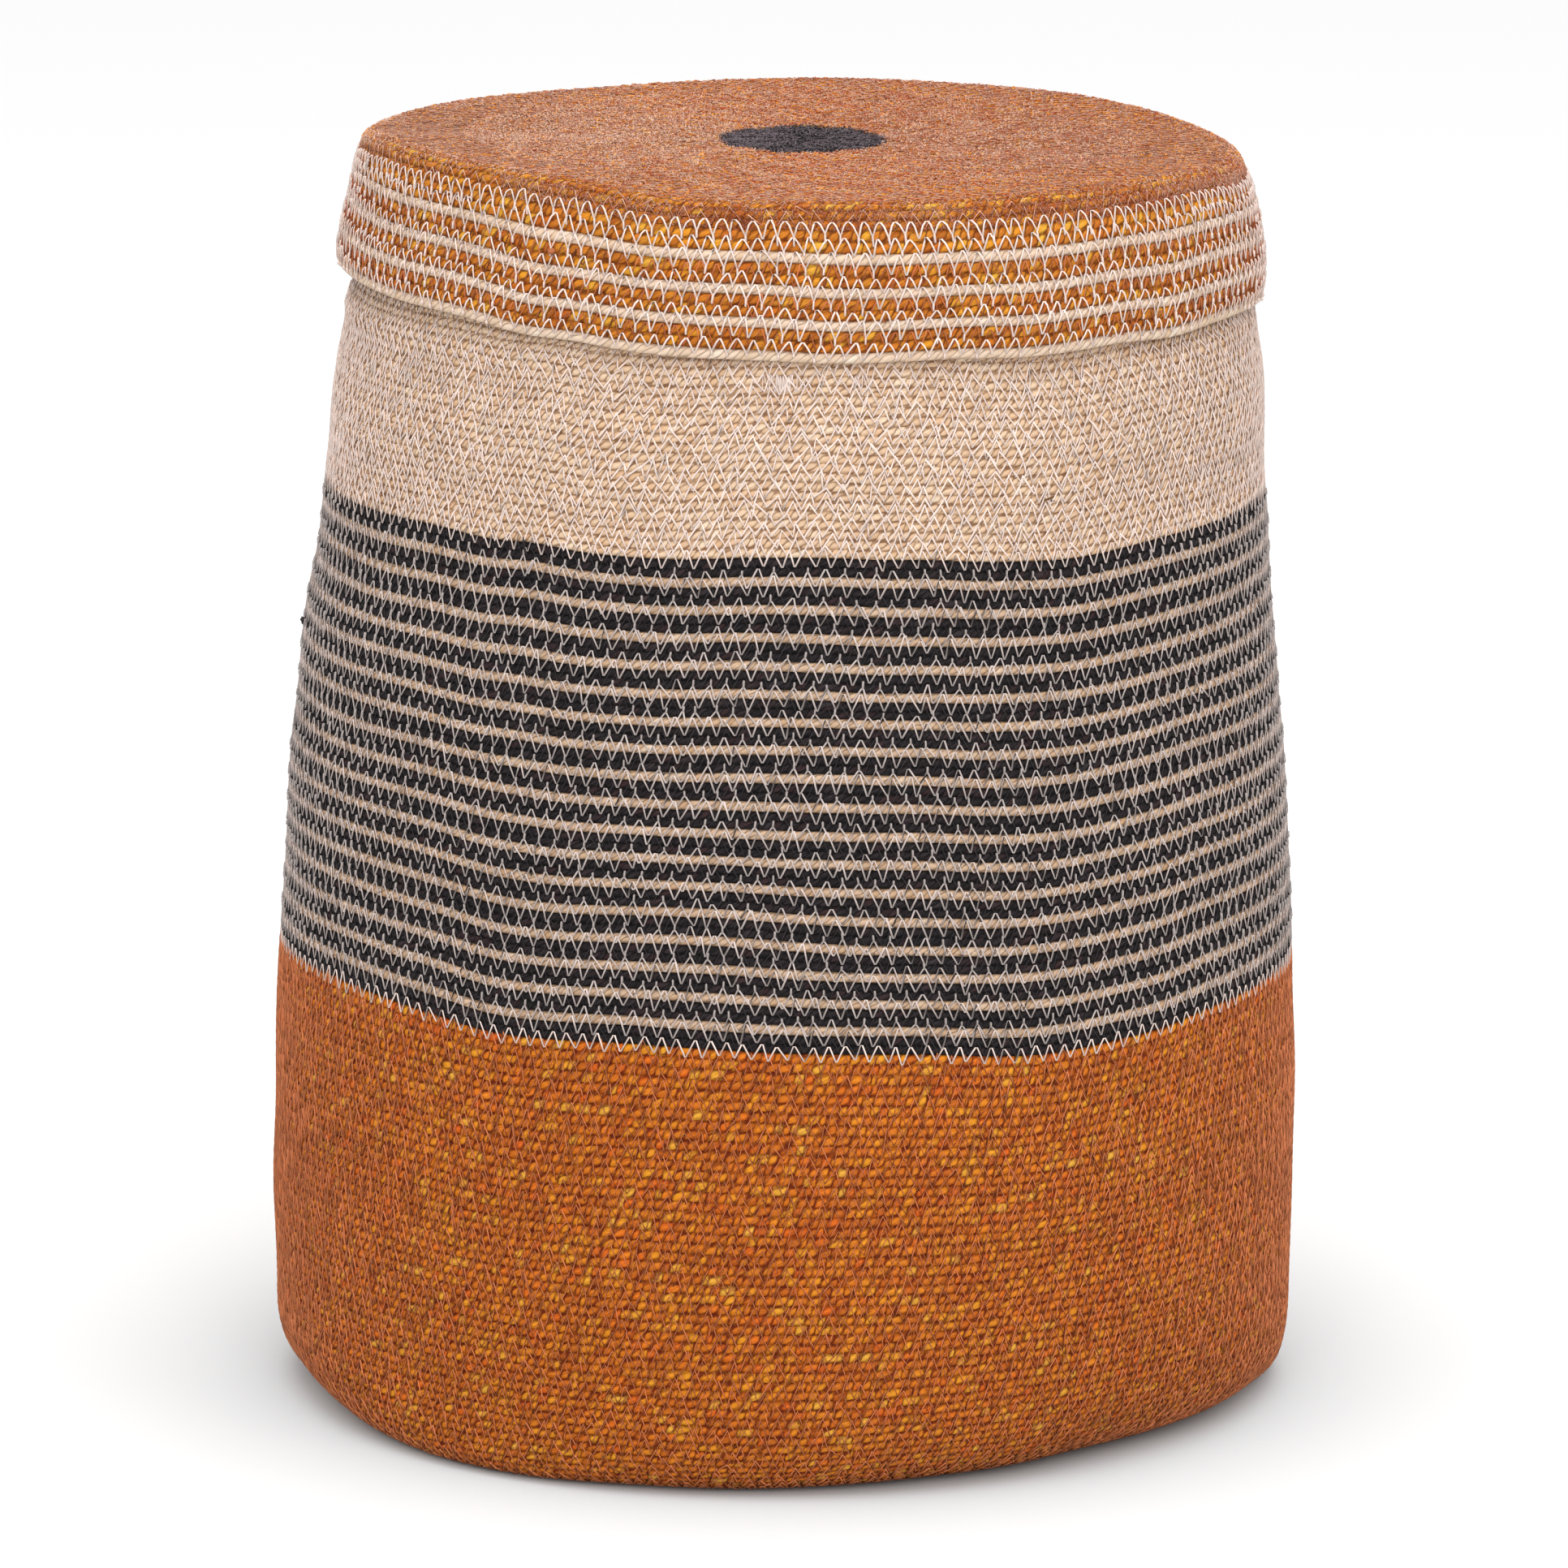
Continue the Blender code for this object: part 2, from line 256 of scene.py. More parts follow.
def addPiece(name, points, quads, tris, lay, material, body, nodes=()):
    # quads and tris index points; lay holds one (u, v) for each face corner, quads first
    mesh = bpy.data.meshes.new(name)
    corners = np.concatenate([quads.ravel(), tris.ravel()]).astype(np.int32)
    starts = np.concatenate([
        np.arange(len(quads)) * 4, len(quads) * 4 + np.arange(len(tris)) * 3]).astype(np.int32)
    mesh.vertices.add(len(points))
    mesh.vertices.foreach_set("co", (points * mm).astype(np.float32).ravel())
    mesh.loops.add(len(corners))
    mesh.loops.foreach_set("vertex_index", corners)
    mesh.polygons.add(len(starts))
    mesh.polygons.foreach_set("loop_start", starts)
    mesh.polygons.foreach_set("use_smooth", np.ones(len(starts), bool))
    layer = mesh.uv_layers.new(name="lay")
    layer.data.foreach_set("uv", lay.astype(np.float32).ravel())
    mesh.update(calc_edges=True)
    mesh.validate()
    mesh.materials.append(material)
    piece = bpy.data.objects.new(name, mesh)
    bpy.context.scene.collection.objects.link(piece)
    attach(piece, body)
    if nodes:
        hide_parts(*nodes)
    print(name, len(quads) * 2 + len(tris), "triangles")


def turned(profile, rings, columns):
    # outlines turned about the axis, theta by theta; each ring is a dictionary with a closed
    # list of (s, off), the lay's v at both ends of each edge, and the radius that u is measured at
    points, quads, tris, layQ, layT = [], [], [], [], []
    turn = np.arange(columns + 1) * 2 * math.pi / columns
    theta = math.pi / 2 + turn[:-1]
    nextColumn = (np.arange(columns) + 1) % columns
    firstPoint = 0
    for ring in rings:
        s, off = np.array(ring["outline"], float).T
        n = len(s)
        grid = pointOn(profile, *np.broadcast_arrays(theta[None, :], s[:, None], off[:, None]))
        index = firstPoint + np.arange(n * columns).reshape(n, columns)
        poles = ring.get("poles", ())
        a = np.arange(n)
        b = (a + 1) % n
        if poles:
            a, b = a[:-1], b[:-1]
        keep = np.array([not (i in poles or j in poles) for i, j in zip(a, b)])
        vA, vB = np.array(ring["v"], float).T
        at = np.array(ring["radius"], float)
        u0, u1 = at[:, None] * turn[None, :-1], at[:, None] * turn[None, 1:]
        v0, v1 = vA[:, None] + 0 * u0, vB[:, None] + 0 * u0
        qa, qb = index[a[keep]], index[b[keep]]
        quads.append(np.stack([qa, qa[:, nextColumn], qb[:, nextColumn], qb], -1).reshape(-1, 4))
        layQ.append(np.stack([
            np.stack([u0, v0], -1), np.stack([u1, v0], -1),
            np.stack([u1, v1], -1), np.stack([u0, v1], -1)], -2)[keep].reshape(-1, 2))
        for k in np.flatnonzero(~keep):      # round an end on the axis, triangles meet in one point
            i, j = a[k], b[k]
            if i in poles:
                pole, edge = index[i, 0], index[j]
                tris.append(np.stack([np.full(columns, pole), edge[nextColumn], edge], -1))
                uv = [[u0[k], v0[k]], [u1[k], v1[k]], [u0[k], v1[k]]]
            else:
                pole, edge = index[j, 0], index[i]
                tris.append(np.stack([edge, edge[nextColumn], np.full(columns, pole)], -1))
                uv = [[u0[k], v0[k]], [u1[k], v0[k]], [u0[k], v1[k]]]
            layT.append(np.array(uv).transpose(2, 0, 1).reshape(-1, 2))
        points.append(grid.reshape(-1, 3))
        firstPoint += n * columns
    tris = np.concatenate(tris) if tris else np.zeros((0, 3), int)
    return np.concatenate(points), np.concatenate(quads), tris, np.concatenate(layQ + layT)


def dropLoose(points, quads, tris):
    # keeps only the points that a face uses
    used = np.zeros(len(points), bool)
    used[quads.ravel()] = True
    used[tris.ravel()] = True
    number = np.cumsum(used) - 1
    return points[used], number[quads], number[tris]


rowShape = {
    "across": (0.0, 0.16, 0.5, 0.84, 1.0),  # where a row's points lie, from its foot to its top
    "depth": (0.78, 0.16, 0, 0.16),         # how deep the groove between rows is, and the row's flanks
    "innerGroove": 0.55,
    "edge": (0.12, 0.01),                   # the part of a row's pattern that shows on its cut edges
    "innerRows": 400,                       # added to the numbers of the rows inside, so that they differ
}


def rowsOutline(profile, edges, firstRow, footPole=False, topPole=False, foot=0.0, top=0.0):
    # one closed outline round consecutive rows: each row bulges out from the grooves beside it,
    # outside from the foot up, and inside back down again
    wall = basketForm["wall"]
    groove, innerGroove = rowShape["depth"][0], rowShape["innerGroove"]
    marks, (wide, thin) = rowShape["across"], rowShape["edge"]
    rows = len(edges) - 1
    lastRow, innerFirst = firstRow + rows, firstRow + rowShape["innerRows"]
    outline, v, radius = [], [], []

    def put(place, off, vFrom, vTo, at):
        outline.append((place, off))
        v.append((vFrom, vTo))
        radius.append(max(float(np.interp(at, profile["s"], profile["r"])), 2.0))

    for i in range(rows):
        low, high = edges[i], edges[i + 1]
        for k, depth in enumerate(rowShape["depth"]):
            put(low + (high - low) * marks[k], -depth, firstRow + i + marks[k],
                firstRow + i + marks[k + 1], (low + high) / 2)
    put(edges[-1], -groove, lastRow - wide, lastRow - thin, edges[-1])
    if top:
        put(edges[-1] + top, -wall / 2, lastRow - wide, lastRow - thin, edges[-1])
    for i in range(rows - 1, -1, -1):
        low, high = edges[i], edges[i + 1]
        middle = (low + high) / 2
        put(high, -wall + innerGroove, innerFirst + i + 1, innerFirst + i + 0.5, middle)
        put(middle, -wall, innerFirst + i + 0.5, innerFirst + i, middle)
    put(edges[0], -wall + innerGroove, firstRow + wide, firstRow + thin, edges[0])
    if foot:
        put(edges[0] - foot, -wall / 2, firstRow + wide, firstRow + thin, edges[0])
    ring = {"outline": outline, "v": v, "radius": radius}
    if footPole or topPole:                   # the outline starts and ends on the axis
        cut = rows * 4 + 1 if topPole else 0
        ring = {name: part[cut:] + part[:cut] for name, part in ring.items()}
        ring["v"], ring["radius"] = ring["v"][:-1], ring["radius"][:-1]
        ring["poles"] = (0, len(outline) - 1)
    return ring


def cordPiece(name, profile, rings, columns, look, nodes):
    # rows of cord as one mesh, in place of the CAD nodes
    points, quads, tris, lay = turned(profile, rings, columns)
    points, quads, tris = dropLoose(points, quads, tris)
    addPiece(name, points, quads, tris, lay, grassMade[look], profile["body"], nodes)


# sewing thread, as closed three-sided tubes and spindles

cornerOut, flatOut = np.radians([90, 210, 330]), np.radians([30, 150, 270])
spindleFaces = {     # by the number of triangles between the two points
    1: np.array([[0, 2, 1], [0, 3, 2], [0, 1, 3], [1, 2, 4], [2, 3, 4], [3, 1, 4]]),
    2: np.array([[0, 2, 1], [0, 3, 2], [0, 1, 3], [1, 2, 5], [1, 5, 4], [2, 3, 6],
                 [2, 6, 5], [3, 1, 4], [3, 4, 6], [4, 5, 7], [5, 6, 7], [6, 4, 7]]),
}


def unit(v):
    return v / np.maximum(np.linalg.norm(v, axis=-1, keepdims=True), 1e-9)


def spokes(along, out, radius, angles):
    # three corners square to a thread, turned to have a corner or a flat side away from the cord
    out = unit(out - along * (out * along).sum(-1, keepdims=True))
    side = np.cross(out, along)
    angles = angles[None, :, None]
    return (side[:, None] * np.cos(angles) + out[:, None] * np.sin(angles)) * radius[:, None, None]


def spindles(along, start, rings, end, out, radius):
    # closed stitches: a point at each end and one or two triangles between them
    spoke = spokes(along, out, radius, cornerOut)
    points = np.concatenate([start[:, None]] + [ring[:, None] + spoke for ring in rings] + [end[:, None]], 1)
    faces = (np.arange(len(start)) * points.shape[1])[:, None, None] + spindleFaces[len(rings)]
    return points.reshape(-1, 3), faces.reshape(-1, 3)


def loop(centres, along, out, radius, flat=True):
    # a tube through the centres and back to the first
    points = centres[:, None] + spokes(along, out, radius, flatOut if flat else cornerOut)
    here = np.arange(len(centres))[:, None] * 3
    ahead = (here + 3) % (3 * len(centres))
    c, d = np.array([0, 1, 2]), np.array([1, 2, 0])
    faces = np.concatenate([np.stack([here + c, here + d, ahead + d], -1),
                            np.stack([here + c, ahead + d, ahead + c], -1)], 1)
    return points.reshape(-1, 3), faces.reshape(-1, 3)


stitch = {
    "period": 5.7,        # one whole zigzag
    "inside": 1.8,        # and how many times that is inside
    "thread": 0.30,       # half the thread's thickness
    "uneven": (0.9, 1.12),
    "proud": 0.36,        # how far its middle stands off the cords
    "hole": 0.35,         # how deep a stub goes in at a needle hole
    "knot": 1.45,         # how much thicker a sunk thread is at its holes
    "lap": 0.055,         # the part of a stitch that turns over at the needle hole
    "top": 0.045,         # how far a top is flattened
    "strayRound": 0.16, "strayRoundMost": 0.42, "strayUp": 0.07, "strayUpMost": 0.3,
    "drift": ((0.6, 3), (0.4, 11)), "driftUp": 0.12,   # slow waves of a round, by size and turns
    "stub": (-.12, .12, .85, 1),   # where a stub starts, is thick, and ends in its hole
    # a stub's chance number is scaled down by the last of these, painting it darker, as shade where it sinks
    # to its hole
    "stubLong": (0.7, 1.2), "stubLean": 0.0011, "stubThick": 1.6, "stubPaintedShade": 0.6,
    "pulled": 0.5,        # how much of a stub's length its hole is pulled back by
    # the rings of an arched stitch: how far along it and up it they are, each for a stitch up and
    # one down, with a sharp top and with a fully bent one
    "arch": (((.05, .08), (.05, .22), (.05, .015), (.05, .01)),
             ((.62, .38), (.36, .64), (.72, .28), (.72, .28)),
             ((.92, .95), (.78, .95), (.985, .95), (.99, .95))),
}


def zigzag(profile, joint, below, above, seed, facing=1, tint=(1, 1), stubs=0.0, stubLong=1.8, stubUp=True,
           fine=True, thread=None, period=None, proud=None, arch=0.0, bow=(0.0, 0.0), stray=1.0,
           dive=0.0, flat=True):
    # one round of machine zigzag: needle holes by turns below and above a joint of two rows, each
    # moved a little, and a stitch from each hole to the next, bent over where it tops out
    random = np.random.RandomState(seed)
    around = 2 * math.pi * float(np.interp(joint, profile["s"], profile["r"]))
    apart = period or stitch["period"] * (1.0 if facing > 0 else stitch["inside"])
    n = 2 * max(int(round(around / apart)), 3)
    half = 2 * math.pi / n
    most = stitch["strayRoundMost"]
    strayRound = random.normal(0, stitch["strayRound"] * stray, n).clip(-most, most)
    theta = random.uniform(0, 6.28) + half * (np.arange(n) + strayRound)
    drift = sum(size * np.sin(theta * turns + random.uniform(0, 6.28)) for size, turns in stitch["drift"])
    high = np.arange(n) % 2
    most = stitch["strayUpMost"]
    strayUp = random.normal(0, stitch["strayUp"] * stray, n).clip(-most, most) * (below + above)
    s = np.where(high, joint + above, joint - below) + strayUp + stitch["driftUp"] * drift
    way = 1 if stubUp else -1
    pulled = (high == int(stubUp)) & (random.uniform(0, 1, n) < stubs)
    s = s - np.where(pulled, stitch["pulled"] * stubLong * way, 0)
    thetaNext = np.roll(theta, -1)
    thetaNext[-1] += 2 * math.pi
    sNext = np.roll(s, -1)
    base = 0.0 if facing > 0 else -basketForm["wall"]
    openOff = base + facing * (stitch["proud"] if proud is None else proud)
    lap, bend = stitch["lap"], stitch["top"]
    middleOut = outOf(profile, (theta + thetaNext) / 2, (s + sNext) / 2) * facing
    size = (thread or stitch["thread"]) * random.uniform(*stitch["uneven"], n)
    tints = np.where(high, tint[1], tint[0]).astype(float)
    tintsNext = np.roll(tints, -1)
    shade = random.uniform(0, 1, n)

    def between(t, up, higher=0.0):
        return pointOn(profile, theta + (thetaNext - theta) * t, s + (sNext - s) * up,
                       np.full(n, openOff + facing * higher))

    def blend(sharp, bent):
        low, top = [a + (b - a) * arch for a, b in zip(sharp, bent)]
        return np.where(high, top, low)

    if dive:                                   # a ring at each hole, sunk, and one at each stitch's middle
        holes, middles = between(0, 0, -dive), between(.5, .5)
        before = np.roll(middles, 1, 0)
        along = np.stack([unit(middles - before), unit(np.roll(holes, -1, 0) - holes)], 1).reshape(-1, 3)
        points, faces = loop(np.stack([holes, middles], 1).reshape(-1, 3), along, np.repeat(middleOut, 2, 0),
                             (size[:, None] * np.array([stitch["knot"], 1.0])).ravel(), flat)
        ends = np.stack([tints, (tints + tintsNext) / 2], 1).ravel()
        lay = np.stack([np.repeat(shade, 6), np.repeat(ends, 3)], -1)
    elif fine:                                 # a ring of the tube near each end of a stitch
        rings = [between(lap + bend * high, lap * (1 - .5 * high)),
                 between(1 - lap - bend * (1 - high), 1 - lap * (1 - .5 * (1 - high)))]
        if arch:                               # or three, for a top that is bent round
            rings = [between(blend(*ring[:2]), blend(*ring[2:]), bow[i % 2])
                     for i, ring in enumerate(stitch["arch"])]
        k = len(rings)
        along = np.repeat(unit(rings[-1] - rings[0]), k, 0)
        points, faces = loop(np.stack(rings, 1).reshape(-1, 3), along, np.repeat(middleOut, k, 0),
                             np.repeat(size, k))
        change = np.linspace(0, 1, k)[None, :, None] + np.zeros((n, k, 3))
        ends = tints[:, None, None] * (1 - change) + tintsNext[:, None, None] * change
        lay = np.stack([np.repeat(shade, 3 * k), ends.ravel()], -1)
    else:                                      # one ring at each needle hole
        centres = between(0, 0)
        along = unit(np.roll(centres, -1, 0) - np.roll(centres, 1, 0))
        points, faces = loop(centres, along, outOf(profile, theta, s) * facing, size)
        lay = np.stack([np.repeat(shade, 3), np.repeat(tints, 3)], -1)
    made = [(points, faces, lay)]
    if pulled.any():                           # where both threads of a stitch run on together to their hole
        m = int(pulled.sum())
        long = random.uniform(*stitch["stubLong"], m) * stubLong
        th, sh = theta[pulled], s[pulled]
        lean = random.normal(0, stitch["stubLean"], m)

        def stub(t, off):
            return pointOn(profile, th + lean * t, sh + way * long * (1.15 * t - 0.15), np.full(m, off))

        heights = (openOff, openOff + .08, openOff, base - facing * stitch["hole"])
        start, *rings, end = [stub(t, off) for t, off in zip(stitch["stub"], heights)]
        points, faces = spindles(unit(rings[1] - rings[0]), start, rings, end,
                                 outOf(profile, th, sh) * facing, size[pulled] * stitch["stubThick"])
        # painted shade: a stub is darker, as it sinks to its hole
        shades = np.repeat(shade[pulled] * stitch["stubPaintedShade"], 8)
        made.append((points, faces, np.stack([shades, np.full(m * 8, tint[int(stubUp)])], -1)))
    return made


fuzzHabit = {
    "long": (.4, 1.2), "bow": (-.7, .7), "rise": (.2, 1), "thick": (.7, 1.3),   # how far each varies
    "off": .02, "fleckOff": .35, "fleckSlant": .25,
    "shade": (0, .92), "fleckShade": 1.0,       # the material makes flecks of what is past .93
    "patches": ((7, .21), (-11, .34), (19, .13), (-23, -.27), (31, .45)),   # turns and rise of waves
    "patchy": .5,
    "paintedSideLight": (.15, -.14, .05),          # painted light and sheen: paler at both sides, most at the left, and a little everywhere
}
fleckLook = {"long": 2.3, "thick": .2, "rise": .12, "fleck": True}


def fuzz(profile, low, high, count, seed, long=1.6, thick=0.185, rise=0.75, tint=(0, 1),
         angles=(-180, 180), fleck=False):
    # small loops of thread standing every way on the cords between two places of the outline, or
    # flecks of grass that show between them, lying along the cords
    habit = fuzzHabit
    random = np.random.RandomState(seed)
    places = np.linspace(low, high, 200)
    r = np.interp(places, profile["s"], profile["r"])
    share = np.concatenate([[0], np.cumsum(r[1:] + r[:-1])])
    s = np.interp(random.uniform(0, share[-1], count), share, places)
    theta = np.radians(random.uniform(*angles, count) - 90)
    radius = np.interp(s, profile["s"], profile["r"])
    way = random.normal(0, habit["fleckSlant"], count) if fleck else random.uniform(0, 2 * math.pi, count)
    reach = long * random.uniform(*habit["long"], count) / 2
    bow = reach * random.uniform(*habit["bow"], count)

    def at(t, off):
        around = np.cos(way) * reach * t - np.sin(way) * bow * (1 - t * t)
        up = np.sin(way) * reach * t + np.cos(way) * bow * (1 - t * t)
        return pointOn(profile, theta + around / radius, np.clip(s + up, 0, profile["end"]), off)

    flat = np.full(count, habit["fleckOff" if fleck else "off"])
    middle = flat + rise * random.uniform(*habit["rise"], count)
    start, top, end = at(-1, flat), at(0, middle), at(1, flat)
    points, faces = spindles(unit(end - start), start, [top], end, outOf(profile, theta, s),
                             thick * random.uniform(*habit["thick"], count))
    shade = np.full(count, habit["fleckShade"]) if fleck else random.uniform(*habit["shade"], count)
    crossing = habit["patches"]            # paler and darker patches, where the waves cross
    patches = sum(np.sin(theta * turns + s * rise + turns) for turns, rise in crossing) / len(crossing)
    # painted light and sheen: paler at the sides as seen from the front, where the top is edge-on, and more
    # at the left than at the right
    both, left, everywhere = habit["paintedSideLight"]
    paintedSideLight = both * np.cos(2 * theta) + left * np.cos(theta) + everywhere
    share = np.clip(random.uniform(0, 1, count) + patches * habit["patchy"] + paintedSideLight, 0, 1)
    lay = np.stack([np.repeat(shade, 5), np.repeat(tint[0] + (tint[1] - tint[0]) * share, 5)], -1)
    return [(points, faces, lay)]


def threadPiece(name, profile, look, runs):
    # stitches of many rounds put together in one mesh
    points, faces, lays = zip(*runs)
    firsts = np.cumsum([0] + [len(p) for p in points[:-1]])
    faces = np.concatenate([f + first for f, first in zip(faces, firsts)])
    lay = np.concatenate(lays)[faces.ravel()]
    addPiece(name, np.concatenate(points), np.zeros((0, 4), int), faces, lay,
             threadMade[look], profile["body"])


# materials

def joined(tree, node, sockets, parts):
    # each part goes into its socket, as a link or as a value
    for socket, part in zip(sockets, parts):
        if isinstance(part, bpy.types.NodeSocket):
            tree.links.new(part, socket)
        elif part is not None:
            socket.default_value = part
    return node


def calc(tree, operation, *parts, clamp=False):
    node = tree.nodes.new("ShaderNodeMath")
    node.operation = operation
    node.use_clamp = clamp
    return joined(tree, node, node.inputs, parts).outputs[0]


def spread(tree, part, low, high, toLow=0.0, toHigh=1.0):
    # a value carried smoothly from one range to another
    node = tree.nodes.new("ShaderNodeMapRange")
    node.interpolation_type = "SMOOTHSTEP"
    return joined(tree, node, node.inputs, (part, low, high, toLow, toHigh)).outputs[0]


def ramp(tree, part, stops):
    # a colour looked up by a value, between the stops
    node = tree.nodes.new("ShaderNodeValToRGB")
    elements = node.color_ramp.elements
    while len(elements) < len(stops):
        elements.new(1)
    for element, (place, colour) in zip(elements, stops):
        element.position = place
        element.color = (*linear(colour), 1)
    tree.links.new(part, node.inputs[0])
    return node.outputs[0]


def blendColour(tree, share, first, second, kind="MIX"):
    node = tree.nodes.new("ShaderNodeMix")
    node.data_type = "RGBA"
    node.blend_type = kind
    node.clamp_factor = True
    colours = [part if isinstance(part, bpy.types.NodeSocket) else (*linear(part), 1)
               for part in (first, second)]
    joined(tree, node, (node.inputs[0], node.inputs[6], node.inputs[7]), (share, *colours))
    return node.outputs[2]


def linear(colour):
    # 0 to 255 as a screen has it, to the shader's own values
    c = np.array(colour, float) / 255
    return tuple(float(v) for v in np.where(c <= 0.04045, c / 12.92, ((c + 0.055) / 1.055) ** 2.4))


def newGroup(name, inputs, outputs):
    group = bpy.data.node_groups.new(name, "ShaderNodeTree")
    for label, value in inputs:
        kind = "NodeSocketVector" if value is None else "NodeSocketFloat"
        socket = group.interface.new_socket(name=label, in_out="INPUT", socket_type=kind)
        if value is not None:
            socket.default_value = value
    for label in outputs:
        group.interface.new_socket(name=label, in_out="OUTPUT", socket_type="NodeSocketFloat")
    return group, group.nodes.new("NodeGroupInput"), group.nodes.new("NodeGroupOutput")


def cordLayGroup():
    # twisted grass cord: the lay map runs along a cord in millimetres and counts rows across it,
    # slanting strands make beads along the row, and fine fibres follow them
    tree, given, put = newGroup("cordLay", [
        ("Lay", None), ("Bead", 3.4), ("Slant", 2.0), ("Fibre", 1.0), ("Fill", 0.5), ("Tilt", 0.3),
        ("Strands", 7.0), ("Lean", 1.0), ("Seam", 0.8)],
        ["Height", "Tone", "Streak", "PaintedShade", "Patch"])
    given = given.outputs
    do = partial(calc, tree)
    parts = tree.nodes.new("ShaderNodeSeparateXYZ")
    tree.links.new(given["Lay"], parts.inputs[0])
    u, w = parts.outputs[0], parts.outputs[1]
    row = do("FLOOR", w)
    v = do("FRACT", w)

    def vector(*xyz):
        node = tree.nodes.new("ShaderNodeCombineXYZ")
        return joined(tree, node, node.inputs, xyz).outputs[0]

    def noise(x, y, z, detail, rough=0.5):
        node = tree.nodes.new("ShaderNodeTexNoise")
        tree.links.new(vector(x, y, z), node.inputs["Vector"])
        node.inputs["Scale"].default_value = 1
        node.inputs["Detail"].default_value = detail
        node.inputs["Roughness"].default_value = rough
        return node.outputs[0]

    def chance(*xyz):
        node = tree.nodes.new("ShaderNodeTexWhiteNoise")
        node.noise_dimensions = "3D"
        tree.links.new(vector(*xyz), node.inputs["Vector"])
        split = tree.nodes.new("ShaderNodeSeparateColor")
        tree.links.new(node.outputs["Color"], split.inputs[0])
        return split.outputs

    def hump(part, clamp=False):
        # 1 where the part is 0, falling to 0 on both sides
        return do("SUBTRACT", 1.0, do("POWER", do("ABSOLUTE", part), 2.0), clamp=clamp)

    fromMiddle = do("SUBTRACT", v, 0.5)
    rowShift = do("MULTIPLY", chance(row, 3.7, 1.3)[0], 37.0)
    wander = noise(do("MULTIPLY", u, 0.11), do("MULTIPLY", row, 3.31), 0.0, detail=1.0)
    uneven = noise(do("MULTIPLY", u, 0.3), do("MULTIPLY", row, 5.73), 8.0, detail=0.0)
    wander = do("MULTIPLY_ADD", uneven, 0.3, do("MULTIPLY", wander, 2.6))
    beads = do("DIVIDE", u, given["Bead"])
    along = do("SUBTRACT", beads, do("MULTIPLY", fromMiddle, given["Slant"]))
    along = do("ADD", along, do("ADD", rowShift, wander))
    bead = do("FLOOR", along)
    b = do("FRACT", along)
    beadChance = chance(bead, row, 5.1)
    # the bead's cross-section and the row's, each 1 in the middle and 0 at its edges
    across = hump(do("MULTIPLY_ADD", b, 2.0, -1.0))
    tilted = do("MULTIPLY", do("SUBTRACT", b, 0.5), given["Tilt"])
    tilted = do("ADD", tilted, do("MULTIPLY", do("SUBTRACT", beadChance[2], 0.5), 0.22))
    middle = hump(do("MULTIPLY", do("SUBTRACT", fromMiddle, tilted), 2.0), clamp=True)
    full = do("MULTIPLY", across, middle)
    # fibres: long noise laid along the slant of the strands
    lean = do("SUBTRACT", beads, do("MULTIPLY", fromMiddle, given["Lean"]))
    fibre = noise(do("ADD", do("MULTIPLY", lean, given["Strands"]), rowShift),
                  do("ADD", do("MULTIPLY", v, 0.9), do("MULTIPLY", row, 2.17)),
                  do("MULTIPLY", bead, 0.37), detail=3.0, rough=0.6)
    streak = do("MULTIPLY", do("SUBTRACT", fibre, 0.5), given["Fibre"])
    # painted shade: a mask of the crevices where beads and rows fall away, and of the seams between beads,
    # for the colour to be darkened by
    gaps = noise(do("MULTIPLY", u, 0.35), do("MULTIPLY", w, 1.3), 4.0, detail=2.0)
    paintedShade = do("MULTIPLY", spread(tree, full, 0.08, given["Fill"], 1.0, 0.0),
                 spread(tree, gaps, 0.35, 0.62, 0.45, 1.0))
    paintedShade = do("MAXIMUM", paintedShade, spread(tree, across, 0.0, 0.35, given["Seam"], 0.0))
    height = do("ADD", do("POWER", do("MAXIMUM", full, 0.0), 0.6), do("MULTIPLY", streak, 0.55))
    patch = noise(do("MULTIPLY", u, 0.028), do("MULTIPLY", w, 0.09), 2.0, detail=3.0)
    joined(tree, put, put.inputs, (height, beadChance[0], do("ADD", streak, 0.5), paintedShade, patch))
    return tree


cordLay = cordLayGroup()


def startMaterial(name, roughness, specular=0.22):
    material = bpy.data.materials.new(name)
    material.use_nodes = True
    tree = material.node_tree
    shader = tree.nodes["Principled BSDF"]
    shader.inputs["Metallic"].default_value = 0
    shader.inputs["Roughness"].default_value = roughness
    shader.inputs["Specular IOR Level"].default_value = specular
    lay = tree.nodes.new("ShaderNodeUVMap")
    lay.uv_map = "lay"
    return material, tree, shader, lay.outputs[0]
